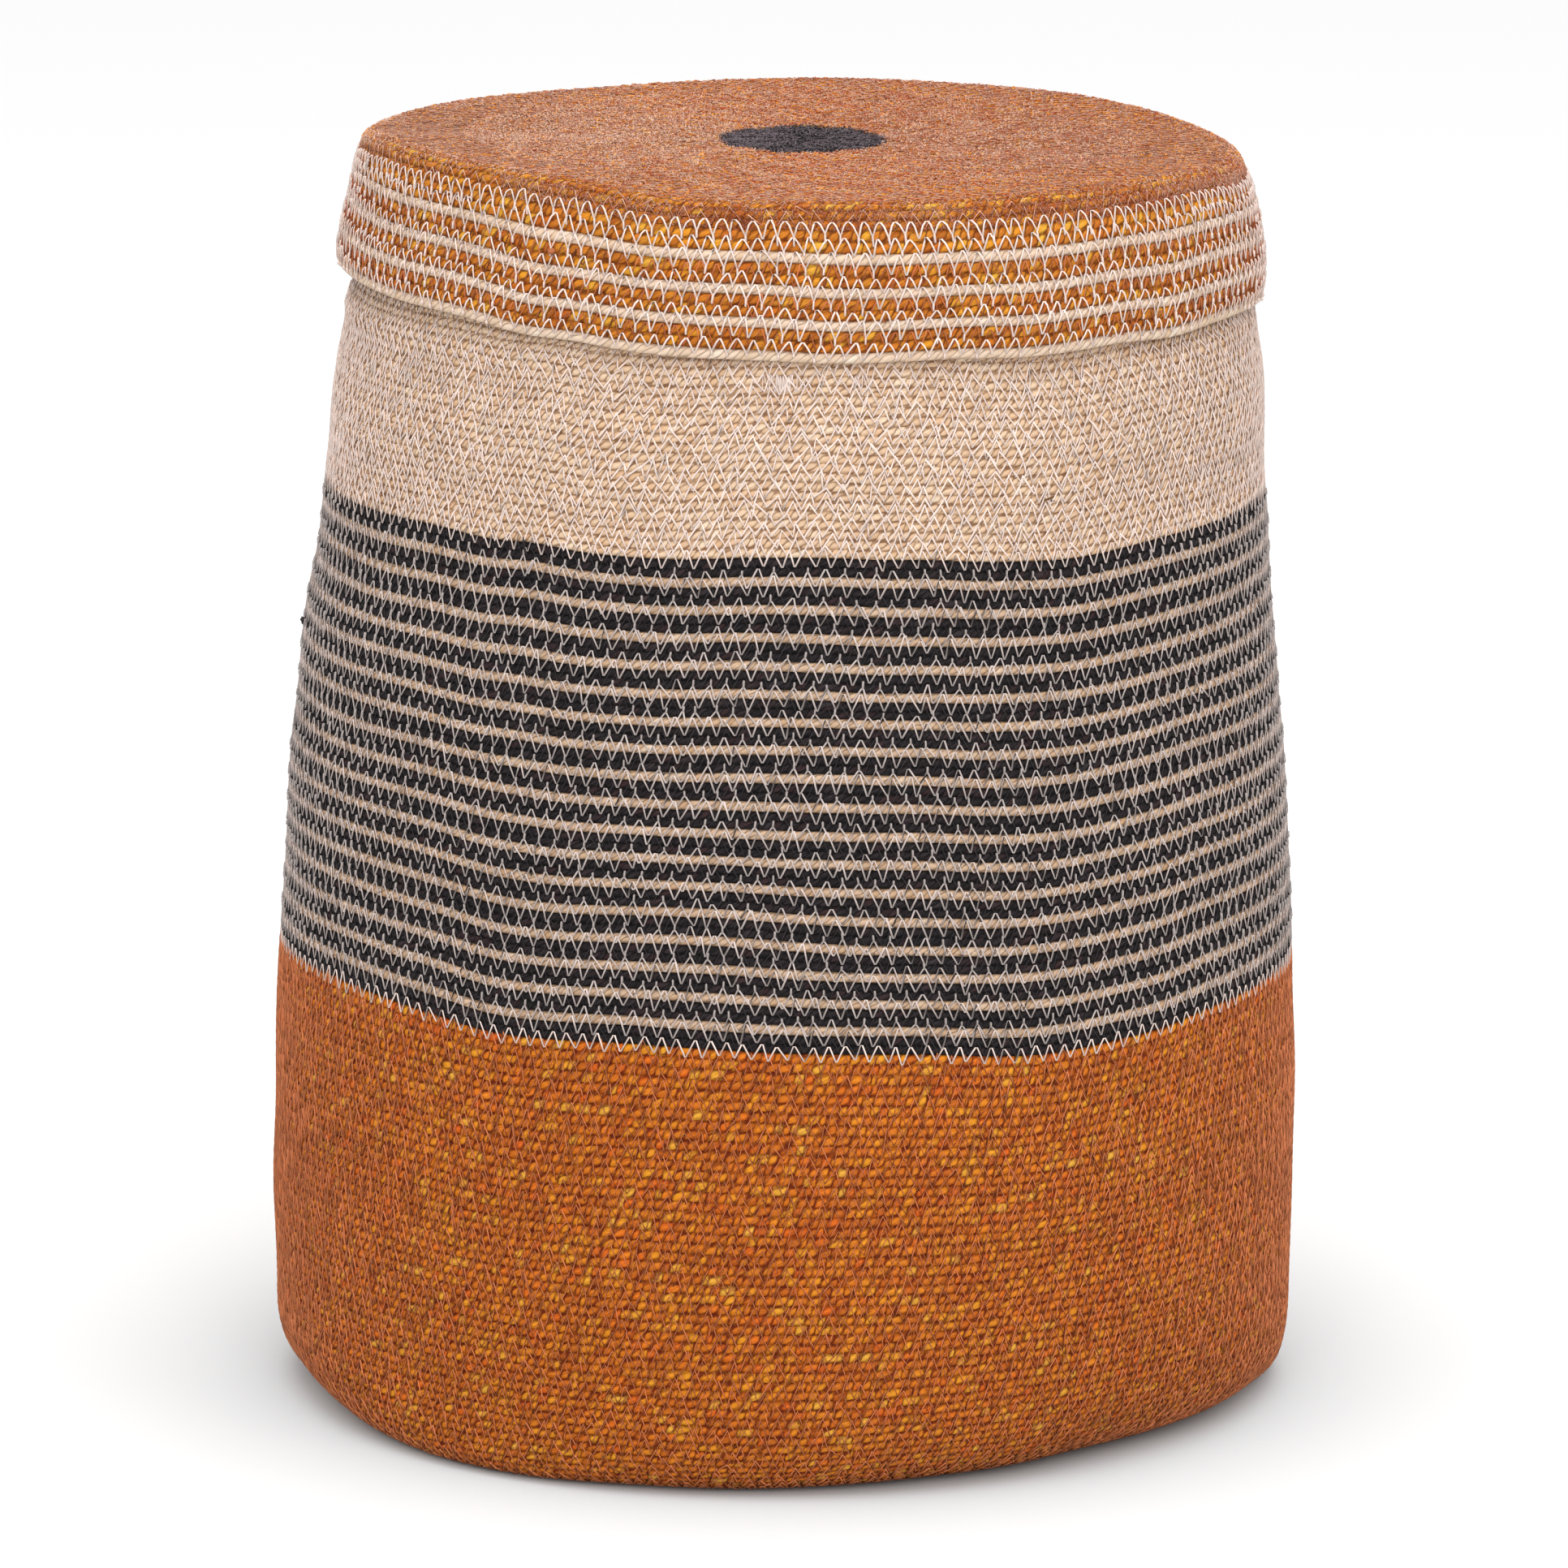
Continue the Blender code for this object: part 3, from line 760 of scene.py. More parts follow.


# in each look, the crevice colour and its share are painted shade: the dark colour, and how far it is mixed
# in, in the crevices between beads and rows
grass = {
    "orangeGrass": {
        "slot": "orange_grass",
        "bead": 3.6, "slant": 0.3, "tilt": 0.34, "strands": 6, "lean": 1.8, "fibre": 1.8,
        "fill": 0.82, "seam": 0.8, "bump": 1.0,
        "beads": [(0, (200, 96, 20)), (.18, (238, 132, 28)), (.34, (216, 108, 22)), (.48, (250, 148, 30)),
                  (.6, (240, 106, 24)), (.7, (250, 160, 32)), (.78, (234, 132, 28)), (.88, (255, 164, 34)),
                  (.95, (255, 176, 44)), (1, (255, 194, 72))],
        "paintedShadeColour": (114, 33, 5), "paintedShade": 0.96,
        "streakDark": (146, 46, 8), "streakLight": (255, 180, 62), "streak": 1.6,
        "patch": 0.05, "roughness": (0.6, 0.38),
    },
    "rimGrass": {
        "slot": "orange_grass",
        "bead": 3.5, "slant": 0.6, "tilt": 0.34, "strands": 7, "lean": 1.8, "fibre": 1.9,
        "fill": 0.64, "seam": 0.6, "bump": 1.0,
        "beads": [(0, (180, 94, 26)), (.14, (220, 130, 38)), (.3, (202, 110, 30)), (.45, (238, 146, 44)),
                  (.58, (214, 106, 28)), (.68, (236, 156, 48)), (.76, (224, 138, 44)), (.82, (250, 160, 40)),
                  (.9, (255, 176, 46)), (1, (255, 196, 72))],
        "paintedShadeColour": (112, 48, 12), "paintedShade": 0.88,
        "streakDark": (142, 60, 14), "streakLight": (255, 180, 60), "streak": 1.856,
        "patch": 0.1, "roughness": (0.6, 0.4),
    },
    "naturalGrass": {
        "slot": "natural_grass",
        "bead": 3.3, "slant": 0.75, "tilt": 0.26, "strands": 6, "lean": 1.5, "fibre": 1.5,
        "fill": 0.58, "seam": 0.6, "bump": 0.85,
        "beads": [(0, (230, 192, 156)), (.4, (244, 212, 178)), (.7, (250, 220, 186)), (.88, (234, 192, 150)),
                  (1, (255, 232, 202))],
        "paintedShadeColour": (142, 100, 68), "paintedShade": 0.88,
        "streakDark": (190, 148, 112), "streakLight": (252, 230, 202), "streak": 1.344,
        "patch": 0.3, "roughness": (0.7, 0.6),
    },
    "bandGrass": {
        "slot": "natural_grass",
        "bead": 3.2, "slant": 1.15, "tilt": 0.12, "strands": 6, "lean": 1.3, "fibre": 1.7,
        "fill": 0.48, "seam": 0.5, "bump": 0.85,
        "beads": [(0, (198, 164, 134)), (.4, (214, 180, 150)), (.7, (224, 190, 160)), (.88, (204, 162, 122)),
                  (1, (236, 208, 180))],
        "paintedShadeColour": (132, 100, 74), "paintedShade": 0.75,
        "streakDark": (176, 142, 110), "streakLight": (250, 228, 200), "streak": 1.6,
        "patch": 0.2, "roughness": (0.7, 0.6),
    },
    "rimNatural": {
        "slot": "natural_grass",
        "bead": 3.1, "slant": 1.2, "tilt": 0.12, "strands": 6, "lean": 1.35, "fibre": 1.6,
        "fill": 0.42, "seam": 0.42, "bump": 0.85,
        "beads": [(0, (228, 198, 168)), (.4, (242, 214, 188)), (.7, (248, 222, 198)), (.88, (234, 200, 166)),
                  (1, (254, 236, 214))],
        "paintedShadeColour": (150, 120, 94), "paintedShade": 0.65,
        "streakDark": (190, 158, 128), "streakLight": (252, 236, 214), "streak": 1.44,
        "patch": 0.2, "roughness": (0.7, 0.6),
    },
    "blackGrass": {
        "slot": "black_grass",
        "bead": 3.2, "slant": 0.9, "tilt": 0.28, "strands": 7, "lean": 1.6, "fibre": 1.9,
        "fill": 0.55, "seam": 0.8, "bump": 1.0,
        "beads": [(0, (22, 18, 20)), (.5, (31, 25, 27)), (.75, (37, 30, 32)), (.9, (60, 36, 38)),
                  (1, (56, 50, 53))],
        "paintedShadeColour": (7, 6, 7), "paintedShade": 0.85,
        "streakDark": (10, 8, 9), "streakLight": (92, 82, 84), "streak": 1.76,
        "patch": 0.1, "roughness": (0.85, 0.75),
    },
}


def grassMaterial(name):
    look = grass[name]
    material, tree, shader, lay = startMaterial(name, 0.65)
    do = partial(calc, tree)
    group = tree.nodes.new("ShaderNodeGroup")
    group.node_tree = cordLay
    tree.links.new(lay, group.inputs["Lay"])
    for label in ("Bead", "Slant", "Fibre", "Fill", "Tilt", "Strands", "Lean", "Seam"):
        group.inputs[label].default_value = look[label.lower()]
    out = group.outputs
    patch = do("MULTIPLY", do("SUBTRACT", out["Patch"], 0.5), look["patch"])
    colour = ramp(tree, do("ADD", out["Tone"], patch, clamp=True), look["beads"])
    streakColour = ramp(tree, out["Streak"], [(0.25, look["streakDark"]), (0.75, look["streakLight"])])
    away = do("ABSOLUTE", do("SUBTRACT", out["Streak"], 0.5))
    colour = blendColour(tree, do("MULTIPLY", away, look["streak"], clamp=True), colour, streakColour)
    # painted shade: the colour is darkened towards a dark colour in the crevices between beads and rows
    depth = do("MULTIPLY", out["PaintedShade"], look["paintedShade"])
    colour = blendColour(tree, depth, colour, look["paintedShadeColour"])
    tree.links.new(colour, shader.inputs["Base Color"])
    tree.links.new(spread(tree, out["Height"], 0.2, 1.0, *look["roughness"]), shader.inputs["Roughness"])
    bump = tree.nodes.new("ShaderNodeBump")
    bump.inputs["Strength"].default_value = look["bump"]
    bump.inputs["Distance"].default_value = 0.6 * mm
    tree.links.new(out["Height"], bump.inputs["Height"])
    tree.links.new(bump.outputs[0], shader.inputs["Normal"])
    return material


threads = {
    # paleThread's far colour is painted shade, for a stitch where it lies on a black turn
    "paleThread": {"slot": "pale_thread", "far": (152, 148, 148), "near": (255, 233, 222)},
    "brickThread": {"slot": "brick_thread", "far": (172, 82, 36), "near": (252, 158, 106), "vary": 0.5},
    "topThread": {"slot": "brick_thread", "far": (192, 82, 32), "near": (255, 216, 189), "vary": 0.4,
                  "fleck": ((190, 88, 32), (250, 166, 50))},
    "darkThread": {"slot": "dark_thread", "far": (34, 29, 30), "near": (90, 84, 87)},
    "huskBrown": {"slot": "brick_thread", "far": (74, 46, 24), "near": (142, 98, 46)},
    "centreThread": {"slot": "dark_thread", "far": (4, 3, 4), "near": (142, 126, 132), "vary": 0.45},
}


def threadMaterial(name):
    # lay holds a stitch's own chance number and how pale it is there; the paleness is partly each stitch's
    # own tone, partly painted shade where a stitch lies on a black turn and painted light at the sides of
    # the fuzz
    look = threads[name]
    material, tree, shader, lay = startMaterial(name, 0.62, 0.25)
    parts = tree.nodes.new("ShaderNodeSeparateXYZ")
    tree.links.new(lay, parts.inputs[0])
    own, pale = parts.outputs[0], parts.outputs[1]
    colour = blendColour(tree, pale, look["far"], look["near"])
    if "fleck" in look:
        fleck = blendColour(tree, pale, *look["fleck"])
        colour = blendColour(tree, spread(tree, own, 0.93, 0.95), colour, fleck)
    vary = look.get("vary", 0.26)
    shade = calc(tree, "MULTIPLY_ADD", own, vary, 1.06 - vary)
    tint = tree.nodes.new("ShaderNodeCombineColor")
    joined(tree, tint, tint.inputs, (shade, shade, shade))
    colour = blendColour(tree, 1.0, colour, tint.outputs[0], "MULTIPLY")
    tree.links.new(colour, shader.inputs["Base Color"])
    return material


grassMade = {name: grassMaterial(name) for name in grass}
threadMade = {name: threadMaterial(name) for name in threads}
print("materials made")


# cords

courses = {
    "bottomRows": 44, "bottomLength": 148, "wallRows": 53,
    "wallPitch": ((0, .93), (.22, .93), (.5, 1.02), (1, 1.06)),   # the turns are thicker higher up the wall
    "naturalCourses": 17, "naturalShare": 1.08,   # a natural turn beside a black one
    "upperRows": 20, "neckRows": 15,
    "rimCourses": 4,
    "topRows": 40, "blackCentreRows": 9,
    "topFrom": 10,        # the rim's turns from here on belong to the cord of the top
    "lidRow": 900, "centreRow": 960,   # what the lid's rows are numbered from, in the cords' pattern
}
columnsRound = {"bottom": 130, "wall": 200, "lidTop": 190, "centre": 120}

bandFoot = lengthAt(basket, basketForm["bandFoot"])
bandTop = lengthAt(basket, basketForm["bandTop"])
lidFootOnWall = lengthAt(basket, basketForm["lidFoot"])
bottomRows, wallRows, bottomLength = courses["bottomRows"], courses["wallRows"], courses["bottomLength"]
bottomEdges = np.linspace(0, bottomLength, bottomRows + 1)
pitches = throughTable(courses["wallPitch"], (np.arange(wallRows) + .5) / wallRows)
wallEdges = np.concatenate([[0], np.cumsum(pitches)]) * (bandFoot - bottomLength) / pitches.sum()
wallEdges = bottomLength + wallEdges

cordPiece("orangeBottomCord", basket, [rowsOutline(basket, bottomEdges, 0, footPole=True, top=0.3)],
          columnsRound["bottom"], "orangeGrass", ["orange_base_and_wall"])
cordPiece("orangeWallCord", basket, [rowsOutline(basket, wallEdges, bottomRows, foot=-0.3)],
          columnsRound["wall"], "orangeGrass", ["orange_base_and_wall"])

naturalCourses = courses["naturalCourses"]
pitch = (bandTop - bandFoot) / (naturalCourses * 3 + 2)
wide = pitch * courses["naturalShare"]
spare = (wide - pitch) / 2
blackRings, naturalRings, bandJoints = [], [], []
row = bottomRows + wallRows
for i in range(naturalCourses + 1):
    low, high = bandFoot + pitch * 3 * i, bandFoot + pitch * (3 * i + 2)
    start = low if i == 0 else low + spare
    stop = high if i == naturalCourses else high - spare
    edges = np.linspace(start, stop, 3)
    blackRings.append(rowsOutline(basket, edges, row))
    bandJoints.append(("dark", edges[1]))
    row += 2
    if i < naturalCourses:
        edges = np.array([stop, high + pitch + spare])
        naturalRings.append(rowsOutline(basket, edges, row))
        bandJoints += [("lower", edges[0]), ("upper", edges[1])]
        row += 1
cordPiece("blackBandCords", basket, blackRings, columnsRound["wall"], "blackGrass",
          [f"black_course_{i:02d}" for i in range(1, naturalCourses + 2)])
cordPiece("naturalBandCords", basket, naturalRings, columnsRound["wall"], "bandGrass",
          [f"natural_course_{i:02d}" for i in range(1, naturalCourses + 1)])

upperRows = courses["upperRows"]
upperEdges = np.linspace(bandTop, lidFootOnWall, upperRows + 1)
neckEdges = np.linspace(lidFootOnWall, basket["end"], courses["neckRows"] + 1)
naturalEdges = np.concatenate([upperEdges, neckEdges[1:]])
cordPiece("naturalWallCord", basket, [rowsOutline(basket, naturalEdges, row)], columnsRound["wall"],
          "naturalGrass", ["natural_upper_wall"])

rimHeights = lidForm["foot"] + lidForm["rimPitch"] * np.arange(lidForm["rimRows"] + 1)
rimEdges = np.array([lengthAt(lid, height) for height in rimHeights])
blackAt = lid["end"] - lidForm["blackRadius"]
topEdges = np.linspace(rimEdges[-1], blackAt, courses["topRows"] + 1)
centreEdges = np.linspace(blackAt, lid["end"], courses["blackCentreRows"] + 1)

lidNatural, lidOrange = [], []
rimCourses, lidRow, topFrom = courses["rimCourses"], courses["lidRow"], courses["topFrom"]
for i in range(rimCourses):
    at = 3 * i
    lidNatural.append(rowsOutline(lid, rimEdges[at:at + 2], lidRow + at, foot=0.35 if i == 0 else 0))
    if i < rimCourses - 1:
        lidOrange.append(rowsOutline(lid, rimEdges[at + 1:at + 4], lidRow + at + 1))
cordPiece("lidNaturalCords", lid, lidNatural, columnsRound["wall"], "rimNatural",
          [f"lid_natural_course_{i}" for i in range(1, rimCourses + 1)])
cordPiece("lidOrangeCords", lid, lidOrange, columnsRound["wall"], "rimGrass",
          [f"lid_orange_course_{i}" for i in range(1, rimCourses)])
orangeTopEdges = np.concatenate([rimEdges[topFrom:], topEdges[1:]])
cordPiece("lidTopCord", lid, [rowsOutline(lid, orangeTopEdges, lidRow + topFrom)], columnsRound["lidTop"],
          "rimGrass", ["lid_orange_top"])
cordPiece("lidCentreCord", lid, [rowsOutline(lid, centreEdges, courses["centreRow"], topPole=True)],
          columnsRound["centre"], "blackGrass", ["lid_black_centre"])
print("cords laid")


# stitches

def rounds(profile, joints, seed, **how):
    # a zigzag on each joint, reaching over the rows beside it
    made = []
    for i, (joint, below, above) in enumerate(joints):
        made += zigzag(profile, joint, below, above, seed + i, **how)
    return made


def jointsOf(edges, reach=0.96):
    # the joints between rows, with the rows' own heights as reach
    return [(edges[i], (edges[i] - edges[i - 1]) * reach, (edges[i + 1] - edges[i]) * reach)
            for i in range(1, len(edges) - 1)]


coarse = {"fine": False}
inside = {"fine": False, "facing": -1}
wallSewing = {"tint": (.35, .85), "thread": .24, "period": 5.3, "stray": 1.5, "proud": .44, "dive": .3,
              "flat": False}
paleSewing = {"tint": (.9, 1), "thread": .33, "period": 5.6, "stray": 1.5, "proud": .52, "dive": .28}
brickInside = {**inside, "tint": (.3, .6)}
paleInside = {**inside, "tint": (.95, .95)}

wallJoints = jointsOf(np.concatenate([bottomEdges[-2:-1], wallEdges]))
bottomJoints = jointsOf(bottomEdges)[1:]
half = len(wallJoints) // 2
for name, joints, seed, how in (
        ("brickThreadLow", wallJoints[:half], 100, wallSewing),
        ("brickThreadHigh", wallJoints[half:], 200, wallSewing),
        ("brickThreadUnder", bottomJoints, 300, {**coarse, "proud": 0.02, "period": 9}),
        ("brickThreadInside", wallJoints, 400, brickInside),
        ("brickThreadFloor", bottomJoints, 500, brickInside)):
    threadPiece(name, basket, "brickThread", rounds(basket, joints, seed, **how))

paleRuns, darkRuns, paleBack, darkBack = [], [], [], []
for seed, (kind, joint) in enumerate(bandJoints, 601):
    if kind == "dark":
        reach, tint = (pitch * .95, pitch * .95), (.2, .2)
        darkRuns += zigzag(basket, joint, *reach, seed, tint=tint, proud=.05, **coarse)
        darkBack += zigzag(basket, joint, *reach, seed + 100, tint=tint, **inside)
        continue
    if kind == "upper":       # the natural turn below, the black one above; a stitch is painted greyer, as shade, at its end on the black
        reach, tint, stubs = (wide * .95, pitch * .80), (.76, .3), 0.8
    else:                     # the black turn below, the natural one above; a stitch is painted greyer, as shade, at its end on the black
        reach, tint, stubs = (pitch * 1.05, wide * .90), (.24, .76), 0
    paleRuns += zigzag(basket, joint, *reach, seed, tint=tint, stubs=stubs, stubLong=2.3, thread=.31)
    paleBack += zigzag(basket, joint, *reach, seed + 100, tint=tint, **inside)
orangePitch = wallEdges[-1] - wallEdges[-2]
upperPitch = upperEdges[1] - upperEdges[0]
# at the band's foot and top too, a pale stitch is painted greyer, as shade, at its end on the black
for joint, reach, reachBack, seed, tint in (
        (bandFoot, (orangePitch * .80, pitch * .92), (orangePitch * .85, pitch * .92), 801, (1, .95)),
        (bandTop, (pitch * .98, upperPitch * .98), (pitch * .98, upperPitch * .98), 803, (.7, 1))):
    paleRuns += zigzag(basket, joint, *reach, seed, tint=tint)
    paleBack += zigzag(basket, joint, *reachBack, seed + 1, **inside)
threadPiece("paleBandThread", basket, "paleThread", paleRuns)
threadPiece("paleBandInside", basket, "paleThread", paleBack)
threadPiece("darkBandThread", basket, "darkThread", darkRuns)
threadPiece("darkBandInside", basket, "darkThread", darkBack)

upperJoints = jointsOf(naturalEdges[:upperRows + 2], 0.86)
neckJoints = jointsOf(naturalEdges[upperRows:], 0.95)
for name, joints, seed, how in (
        ("paleWallThread", upperJoints, 900, paleSewing),
        ("paleNeckThread", neckJoints, 940, {**coarse, "tint": (.95, .95), "proud": 0.1}),
        ("paleWallInside", upperJoints + neckJoints, 980, paleInside)):
    threadPiece(name, basket, "paleThread", rounds(basket, joints, seed, **how))

rimPale, rimPaleBack, rimBrick, rimBrickBack = [], [], [], []
rimPitch = lidForm["rimPitch"]
rimInside = {**inside, "proud": 0.1}
rimSewing = {"thread": .335, "tint": (.97, 1), "arch": .08, "bow": (-.1, .3), "stubUp": False}
rimLooks = {     # how far a stitch reaches down and up, in rows
    "natural below": (.55, .95, {"stubs": .4, "stubLong": 1.4}),
    "natural above": (.9, 1.0, {"stubs": .75, "stubLong": 2.6}),
    "under the arches": (1.3, .3, {"stubs": .4, "stubLong": 1.5}),
    "arches": (1.0, .68, {"stubs": .9, "stubLong": 3.0, "arch": .5, "bow": (.1, .5), "period": 5.4}),
}
for i in range(1, lidForm["rimRows"] + 1):
    joint, seed = rimEdges[i], 1100 + i
    if i == topFrom:                 # the next joint's stitches reach over this one
        continue
    if i % 3 == 2 and i < topFrom:   # between the two orange turns
        reach = (rimPitch * .95, rimPitch * .95)
        rimBrick += zigzag(lid, joint, *reach, seed, tint=(.2, .5), thread=.26)
        rimBrickBack += zigzag(lid, joint, *reach, seed + 50, **rimInside)
        continue
    kind = "natural below" if i % 3 == 1 else "natural above"
    kind = {topFrom + 1: "under the arches", topFrom + 2: "arches"}.get(i, kind)
    below, above, how = rimLooks[kind]
    reach = (rimPitch * below, rimPitch * above)
    rimPale += zigzag(lid, joint, *reach, seed, **{**rimSewing, **how})
    rimPaleBack += zigzag(lid, joint, *reach, seed + 50, **rimInside)
threadPiece("lidPaleThread", lid, "paleThread", rimPale)
threadPiece("lidPaleInside", lid, "paleThread", rimPaleBack)
threadPiece("lidRimBrick", lid, "brickThread", rimBrick)
threadPiece("lidRimBrickInside", lid, "brickThread", rimBrickBack)

lidJoints = jointsOf(orangeTopEdges[2:], 0.8)
threadPiece("lidTopThread", lid, "topThread",
            rounds(lid, lidJoints, 1300, tint=(.2, .9), thread=.2, stray=2.2, **coarse))
threadPiece("lidTopInside", lid, "brickThread", rounds(lid, lidJoints, 1400, proud=0.05, **brickInside))
fuzzFrom, fuzzTo = orangeTopEdges[3] + 2.5, blackAt + .3
inner, outer = lid["end"] - 83, lid["end"] - 120   # where the fuzz is cut into three pieces
flecks = 2300                                      # in each of them
for name, low, high, seed, many, rise in (
        ("lidTopFuzz", inner, fuzzTo, 1450, 15200, .7),
        ("lidMiddleFuzz", outer, inner, 1452, 15200, .7),
        ("lidEdgeFuzz", fuzzFrom, outer, 1454, 16300, .3)):
    runs = fuzz(lid, low, high, many, seed, rise=rise) + fuzz(lid, low, high, flecks, seed + 1, **fleckLook)
    if name == "lidEdgeFuzz":              # browner by the edge, and it comes down to the arches
        runs += fuzz(lid, fuzzFrom - 1, fuzzFrom + 9, 3900, 1469, tint=(.1, .7), rise=.2)
        runs += fuzz(lid, fuzzFrom - 6, fuzzFrom + 1, 6600, 1470, tint=(.1, .6), rise=.3, angles=(-42, 130))
        runs += fuzz(lid, fuzzFrom, fuzzFrom + 40, 1200, 1471, angles=(20, 140), **fleckLook)
    threadPiece(name, lid, "topThread", runs)
centreJoints = jointsOf(centreEdges)[:-2]
threadPiece("lidCentreThread", lid, "centreThread",
            rounds(lid, centreJoints, 1500, tint=(.1, .9), thread=.2, stray=2.2)
            + rounds(lid, centreJoints, 1550, tint=(.3, .8), proud=0.05, **inside)
            + fuzz(lid, blackAt - 1.0, lid["end"] - 1.5, 3600, 1590))


def strand(profile, path, radius, tint, shade=.5):
    # a loose piece of thread smoothly through (degrees from the front, place along the outline, off)
    path = np.array(path, float)
    marks = np.arange(len(path))
    t = np.linspace(0, len(path) - 1, 5 * len(path))
    angle, s, off = [throughTable(np.stack([marks, column], 1), t) for column in path.T]
    theta = np.radians(angle - 90)
    centres = pointOn(profile, theta, s, off)
    out = outOf(profile, theta, s) + np.array([0, 0, .01])
    taper = np.minimum(1, .25 + 4 * np.minimum(t, t[-1] - t) / t[-1])
    points, faces = loop(centres, unit(np.gradient(centres, axis=0)), out, radius * taper)
    last = len(points) - 3
    faces = faces[:-6]                       # open, with its own ends instead of the way back to the first
    faces = np.concatenate([faces, [[0, 2, 1], [last, last + 1, last + 2]]])
    return points, faces, np.tile([shade, tint], (len(points), 1))


def zigzagPath(angle, s, step, reach, count, off):
    # points a step apart round the wall, by turns above and below s
    return [(angle + step * k, s + reach * (-1) ** k, off) for k in range(count)]


def circlePath(angle, s, wide, high, off):
    # nine points round an ellipse, the last on the first
    t = np.linspace(0, 2 * math.pi, 9)
    return np.stack([angle + wide * np.sin(t), s - high * np.cos(t), np.full(9, off)], 1)


def tangle(angle, s, size, seed, steps, height):
    # points scattered about a place, at heights up to the given one
    random = np.random.RandomState(seed)
    return np.stack([angle + random.normal(0, size / 2.7, steps), s + random.normal(0, size, steps),
                     random.uniform(.1, height, steps)], 1)


# where the machine was stopped, a thread was mended or came loose, or a husk shows, as in the photograph
handMarks = {
    ("wallMends", "paleThread"): [
        (zigzagPath(-5.4, 552.0, .42, 3.1, 15, .3), .22, .85),
        (zigzagPath(-3.2, 551.6, .17, 2.9, 12, .35), .22, .85),
        (zigzagPath(6.0, 552.6, .4, 2.4, 7, .3), .22, .85)],
    ("rimLoops", "paleThread"): [
        (circlePath(-50.75, 40.1, .34, .85, .7), .24, .9), (circlePath(-49.0, 39.5, .32, .8, .7), .24, .9),
        (circlePath(-46.75, 39.8, .4, .9, .7), .24, .9),
        ([(-61, 42.4, .3), (-60.5, 39, .9), (-60.2, 36.6, .6), (-60.7, 38.6, 1.1)], .34, .8),
        (tangle(-74.5, 42.6, 1.0, 21, 14, 1.2), .5, .65, .3)],
    ("blackEnds", "darkThread"): [
        (tangle(-34.0, 491.5, .35, 31, 6, .9), .55, 0),
        ([(-33.6, 488, .3), (-33.9, 490.5, .7), (-34.3, 494.6, .5)], .5, 0),
        (tangle(-86.3, 440.3, .6, 33, 12, 2.2), .5, .2)],
    ("topLoops", "topThread"): [
        ([(-45.6, 101.2, .2), (-46.0, 102.0, 2.2), (-44.9, 102.6, 4.1), (-43.7, 102.2, 3.6),
          (-43.9, 101.6, 1.8), (-45.3, 101.0, .4)], .16, .1, .2),
        (tangle(-60.0, 98.4, .6, 41, 9, .9), .42, 0, 0),
        ([(-59, 98.4, .9), (-57.4, 99.0, 1.0), (-55.2, 99.2, .8)], .22, 0, 0)],
    ("rimHusk", "brickThread"): [([(-33.3, 28.9, .5), (-32.75, 29.4, .9), (-32.2, 29.9, .5)], 1.1, .55, .2)],
    ("wallHusk", "huskBrown"): [
        ([(30.6, 513.2, .1), (31.5, 514.0, .5), (32.6, 514.8, .2)], .42, .5, .5),
        ([(31.4, 513.6, .1), (31.9, 513.3, .4), (32.5, 513.2, .2)], .3, .1, .2)],
}
for (name, look), strands in handMarks.items():
    profile = basket if name in ("wallMends", "blackEnds", "wallHusk") else lid
    threadPiece(name, profile, look, [strand(profile, *how) for how in strands])
print("stitches sewn")


studio = {
    "floorForCamera": 0.96, "floorForLight": 0.62, "floorAt": -0.0006, "floorHalf": 6,
    "paintedShadowReach": (0.15, 0.34), "shade": (.155, .085, .06),   # painted shadow: the floor's colour is a little darker round the foot, most in red, which also takes out the orange light thrown on it
    "world": 0.95,
    "overhead": {"energy": 25, "size": 2.4, "place": (0.15, -0.6, 2.6), "aim": (0, 0, 0.2)},
    "front": {"energy": 30, "size": 2.0, "place": (0.05, -3.2, 1.5), "aim": (0, 0, 0.25)},
    "lens": 282.8, "sensor": 36, "eye": (-0.0005, -4.2305, 1.1297), "down": 12.24, "roll": 0.35,
    "clip": (0.5, 60),
}


def seenDirectly(tree):
    # 1 for what the camera sees, also through or in something shiny, and 0 for the light the object gets
    path = tree.nodes.new("ShaderNodeLightPath").outputs
    seen = calc(tree, "MAXIMUM", path["Is Camera Ray"], path["Is Glossy Ray"])
    return calc(tree, "MAXIMUM", seen, path["Is Transmission Ray"])


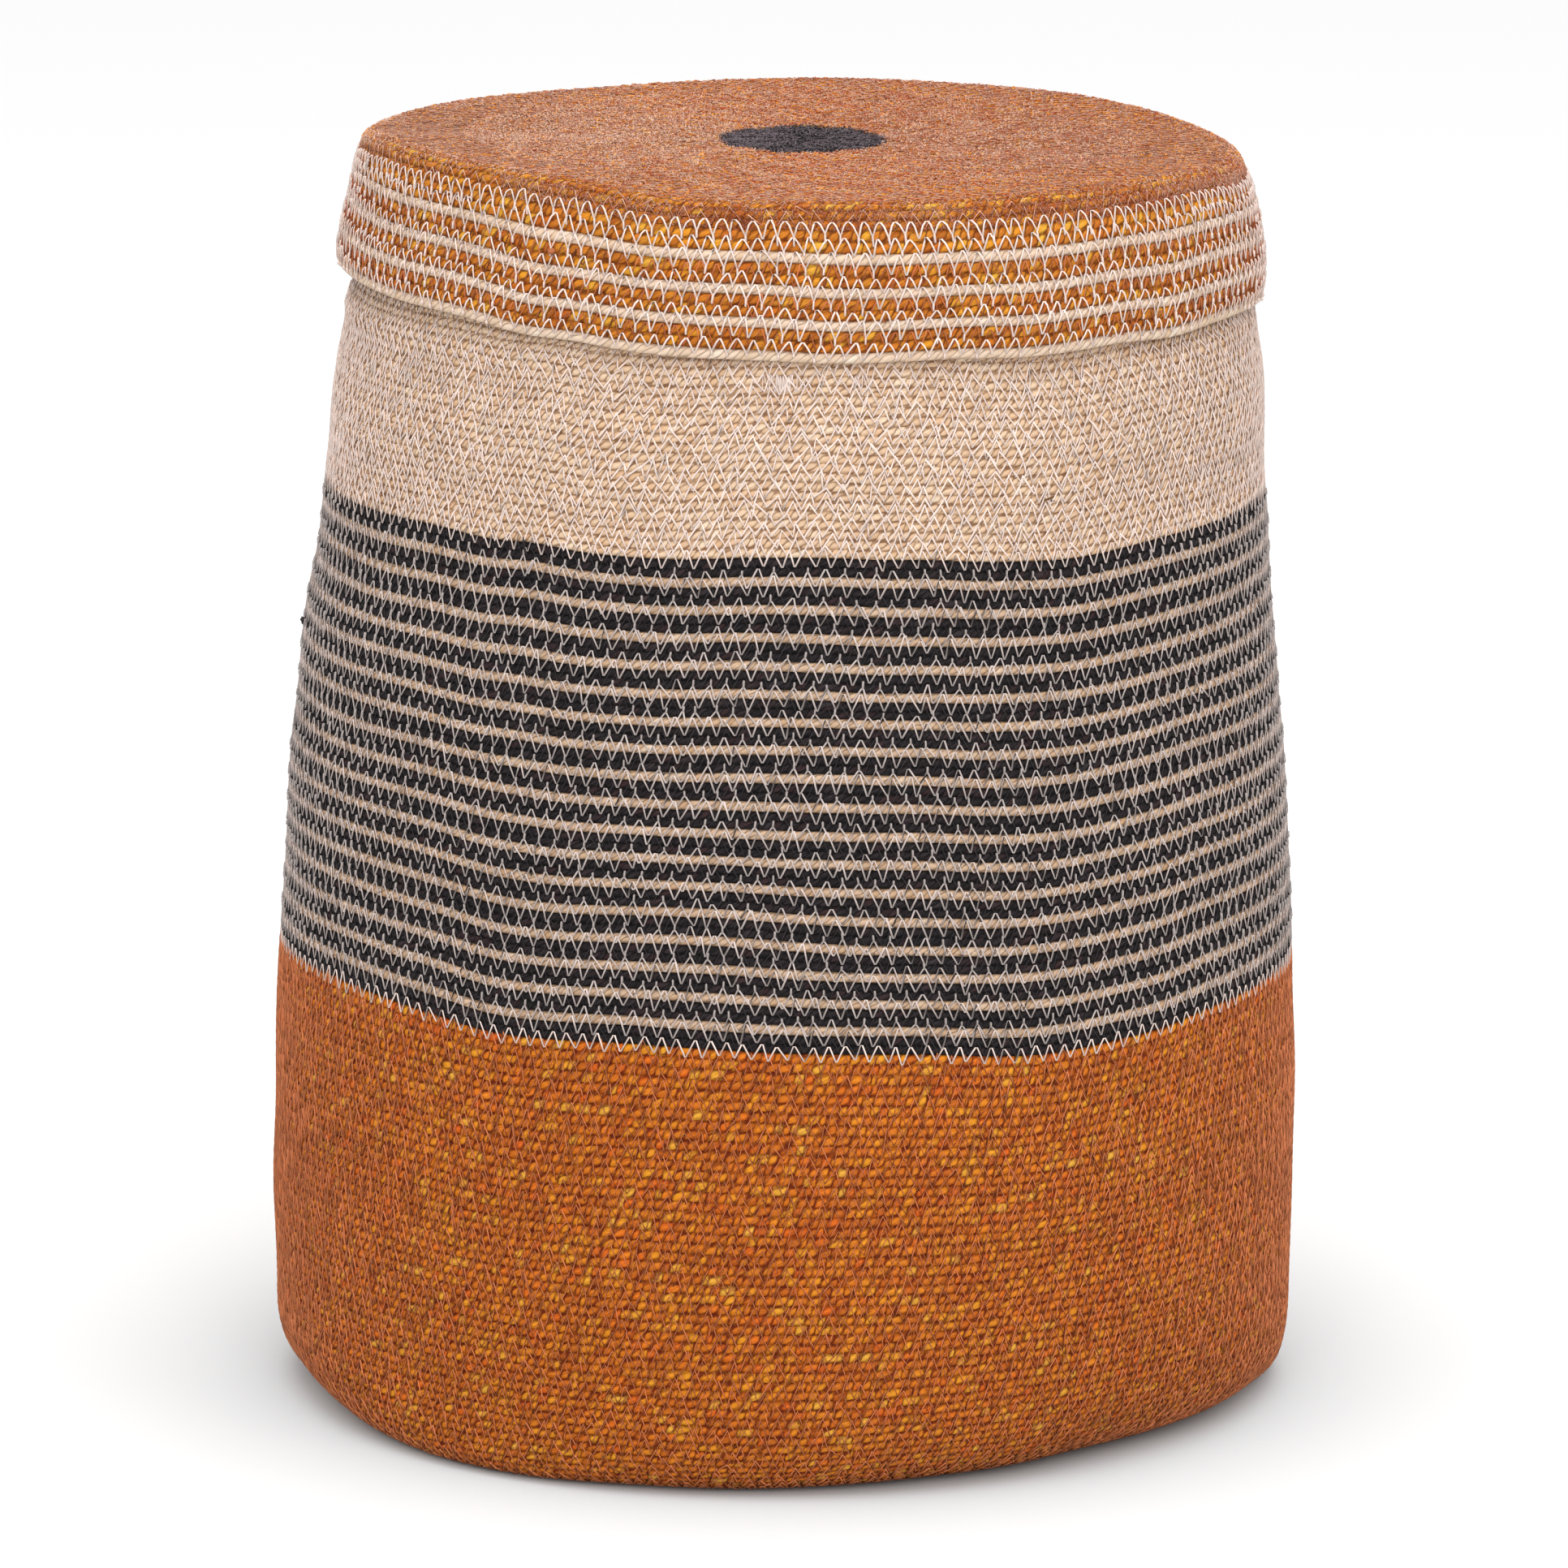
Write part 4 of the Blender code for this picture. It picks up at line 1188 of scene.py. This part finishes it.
def makeFloor():
    half = studio["floorHalf"]
    mesh = bpy.data.meshes.new("studioFloor")
    corners = [(-half, -half, 0), (half, -half, 0), (half, half, 0), (-half, half, 0)]
    mesh.from_pydata(corners, [], [(0, 1, 2, 3)])
    material = bpy.data.materials.new("studioWhite")
    material.use_nodes = True
    tree = material.node_tree
    tree.nodes.clear()
    do = partial(calc, tree)
    out = tree.nodes.new("ShaderNodeOutputMaterial")
    diffuse = tree.nodes.new("ShaderNodeBsdfDiffuse")
    forLight = studio["floorForLight"]
    level = do("MULTIPLY_ADD", seenDirectly(tree), studio["floorForCamera"] - forLight, forLight)
    place = tree.nodes.new("ShaderNodeNewGeometry")
    far = tree.nodes.new("ShaderNodeVectorMath")
    far.operation = "LENGTH"
    tree.links.new(place.outputs["Position"], far.inputs[0])
    # painted shadow: the floor's own colour darkens towards the foot, by more in red than in green and blue
    near = do("SUBTRACT", 1.0, spread(tree, far.outputs["Value"], *studio["paintedShadowReach"]))
    near = do("MULTIPLY", near, near)
    tint = tree.nodes.new("ShaderNodeCombineColor")
    joined(tree, tint, tint.inputs, [do("MULTIPLY", level, do("MULTIPLY_ADD", near, -depth, 1.0))
                                     for depth in studio["shade"]])
    tree.links.new(tint.outputs[0], diffuse.inputs["Color"])
    tree.links.new(diffuse.outputs[0], out.inputs["Surface"])
    mesh.materials.append(material)
    floor = bpy.data.objects.new("studioFloor", mesh)
    floor.location.z = studio["floorAt"]
    bpy.context.scene.collection.objects.link(floor)


def makeWorld():
    world = bpy.data.worlds.new("studioWorld")
    bpy.context.scene.world = world
    world.use_nodes = True
    tree = world.node_tree
    background = tree.nodes["Background"]
    background.inputs["Color"].default_value = (1, 1, 1, 1)
    strength = calc(tree, "MULTIPLY_ADD", seenDirectly(tree), 1 - studio["world"], studio["world"])
    tree.links.new(strength, background.inputs["Strength"])


def addSoftbox(name, look):
    light = bpy.data.lights.new(name, "AREA")
    light.shape = "RECTANGLE"
    light.size = light.size_y = look["size"]
    light.energy = look["energy"]
    lamp = bpy.data.objects.new(name, light)
    lamp.location = look["place"]
    back = Vector(look["place"]) - Vector(look["aim"])
    lamp.rotation_euler = back.to_track_quat("Z", "Y").to_euler()
    bpy.context.scene.collection.objects.link(lamp)


def addCamera():
    camera = bpy.data.cameras.new("photoCamera")
    camera.sensor_width = studio["sensor"]
    camera.lens = studio["lens"]
    camera.clip_start, camera.clip_end = studio["clip"]
    eye = bpy.data.objects.new("photoCamera", camera)
    down, roll = math.radians(90 - studio["down"]), math.radians(studio["roll"])
    turn = Matrix.Rotation(down, 4, "X") @ Matrix.Rotation(roll, 4, "Z")
    eye.matrix_world = Matrix.Translation(studio["eye"]) @ turn
    bpy.context.scene.collection.objects.link(eye)
    bpy.context.scene.camera = eye


makeFloor()
makeWorld()
addSoftbox("overheadSoftbox", studio["overhead"])
addSoftbox("frontSoftbox", studio["front"])
addCamera()
bpy.context.scene.view_settings.view_transform = "Standard"
print("studio set")
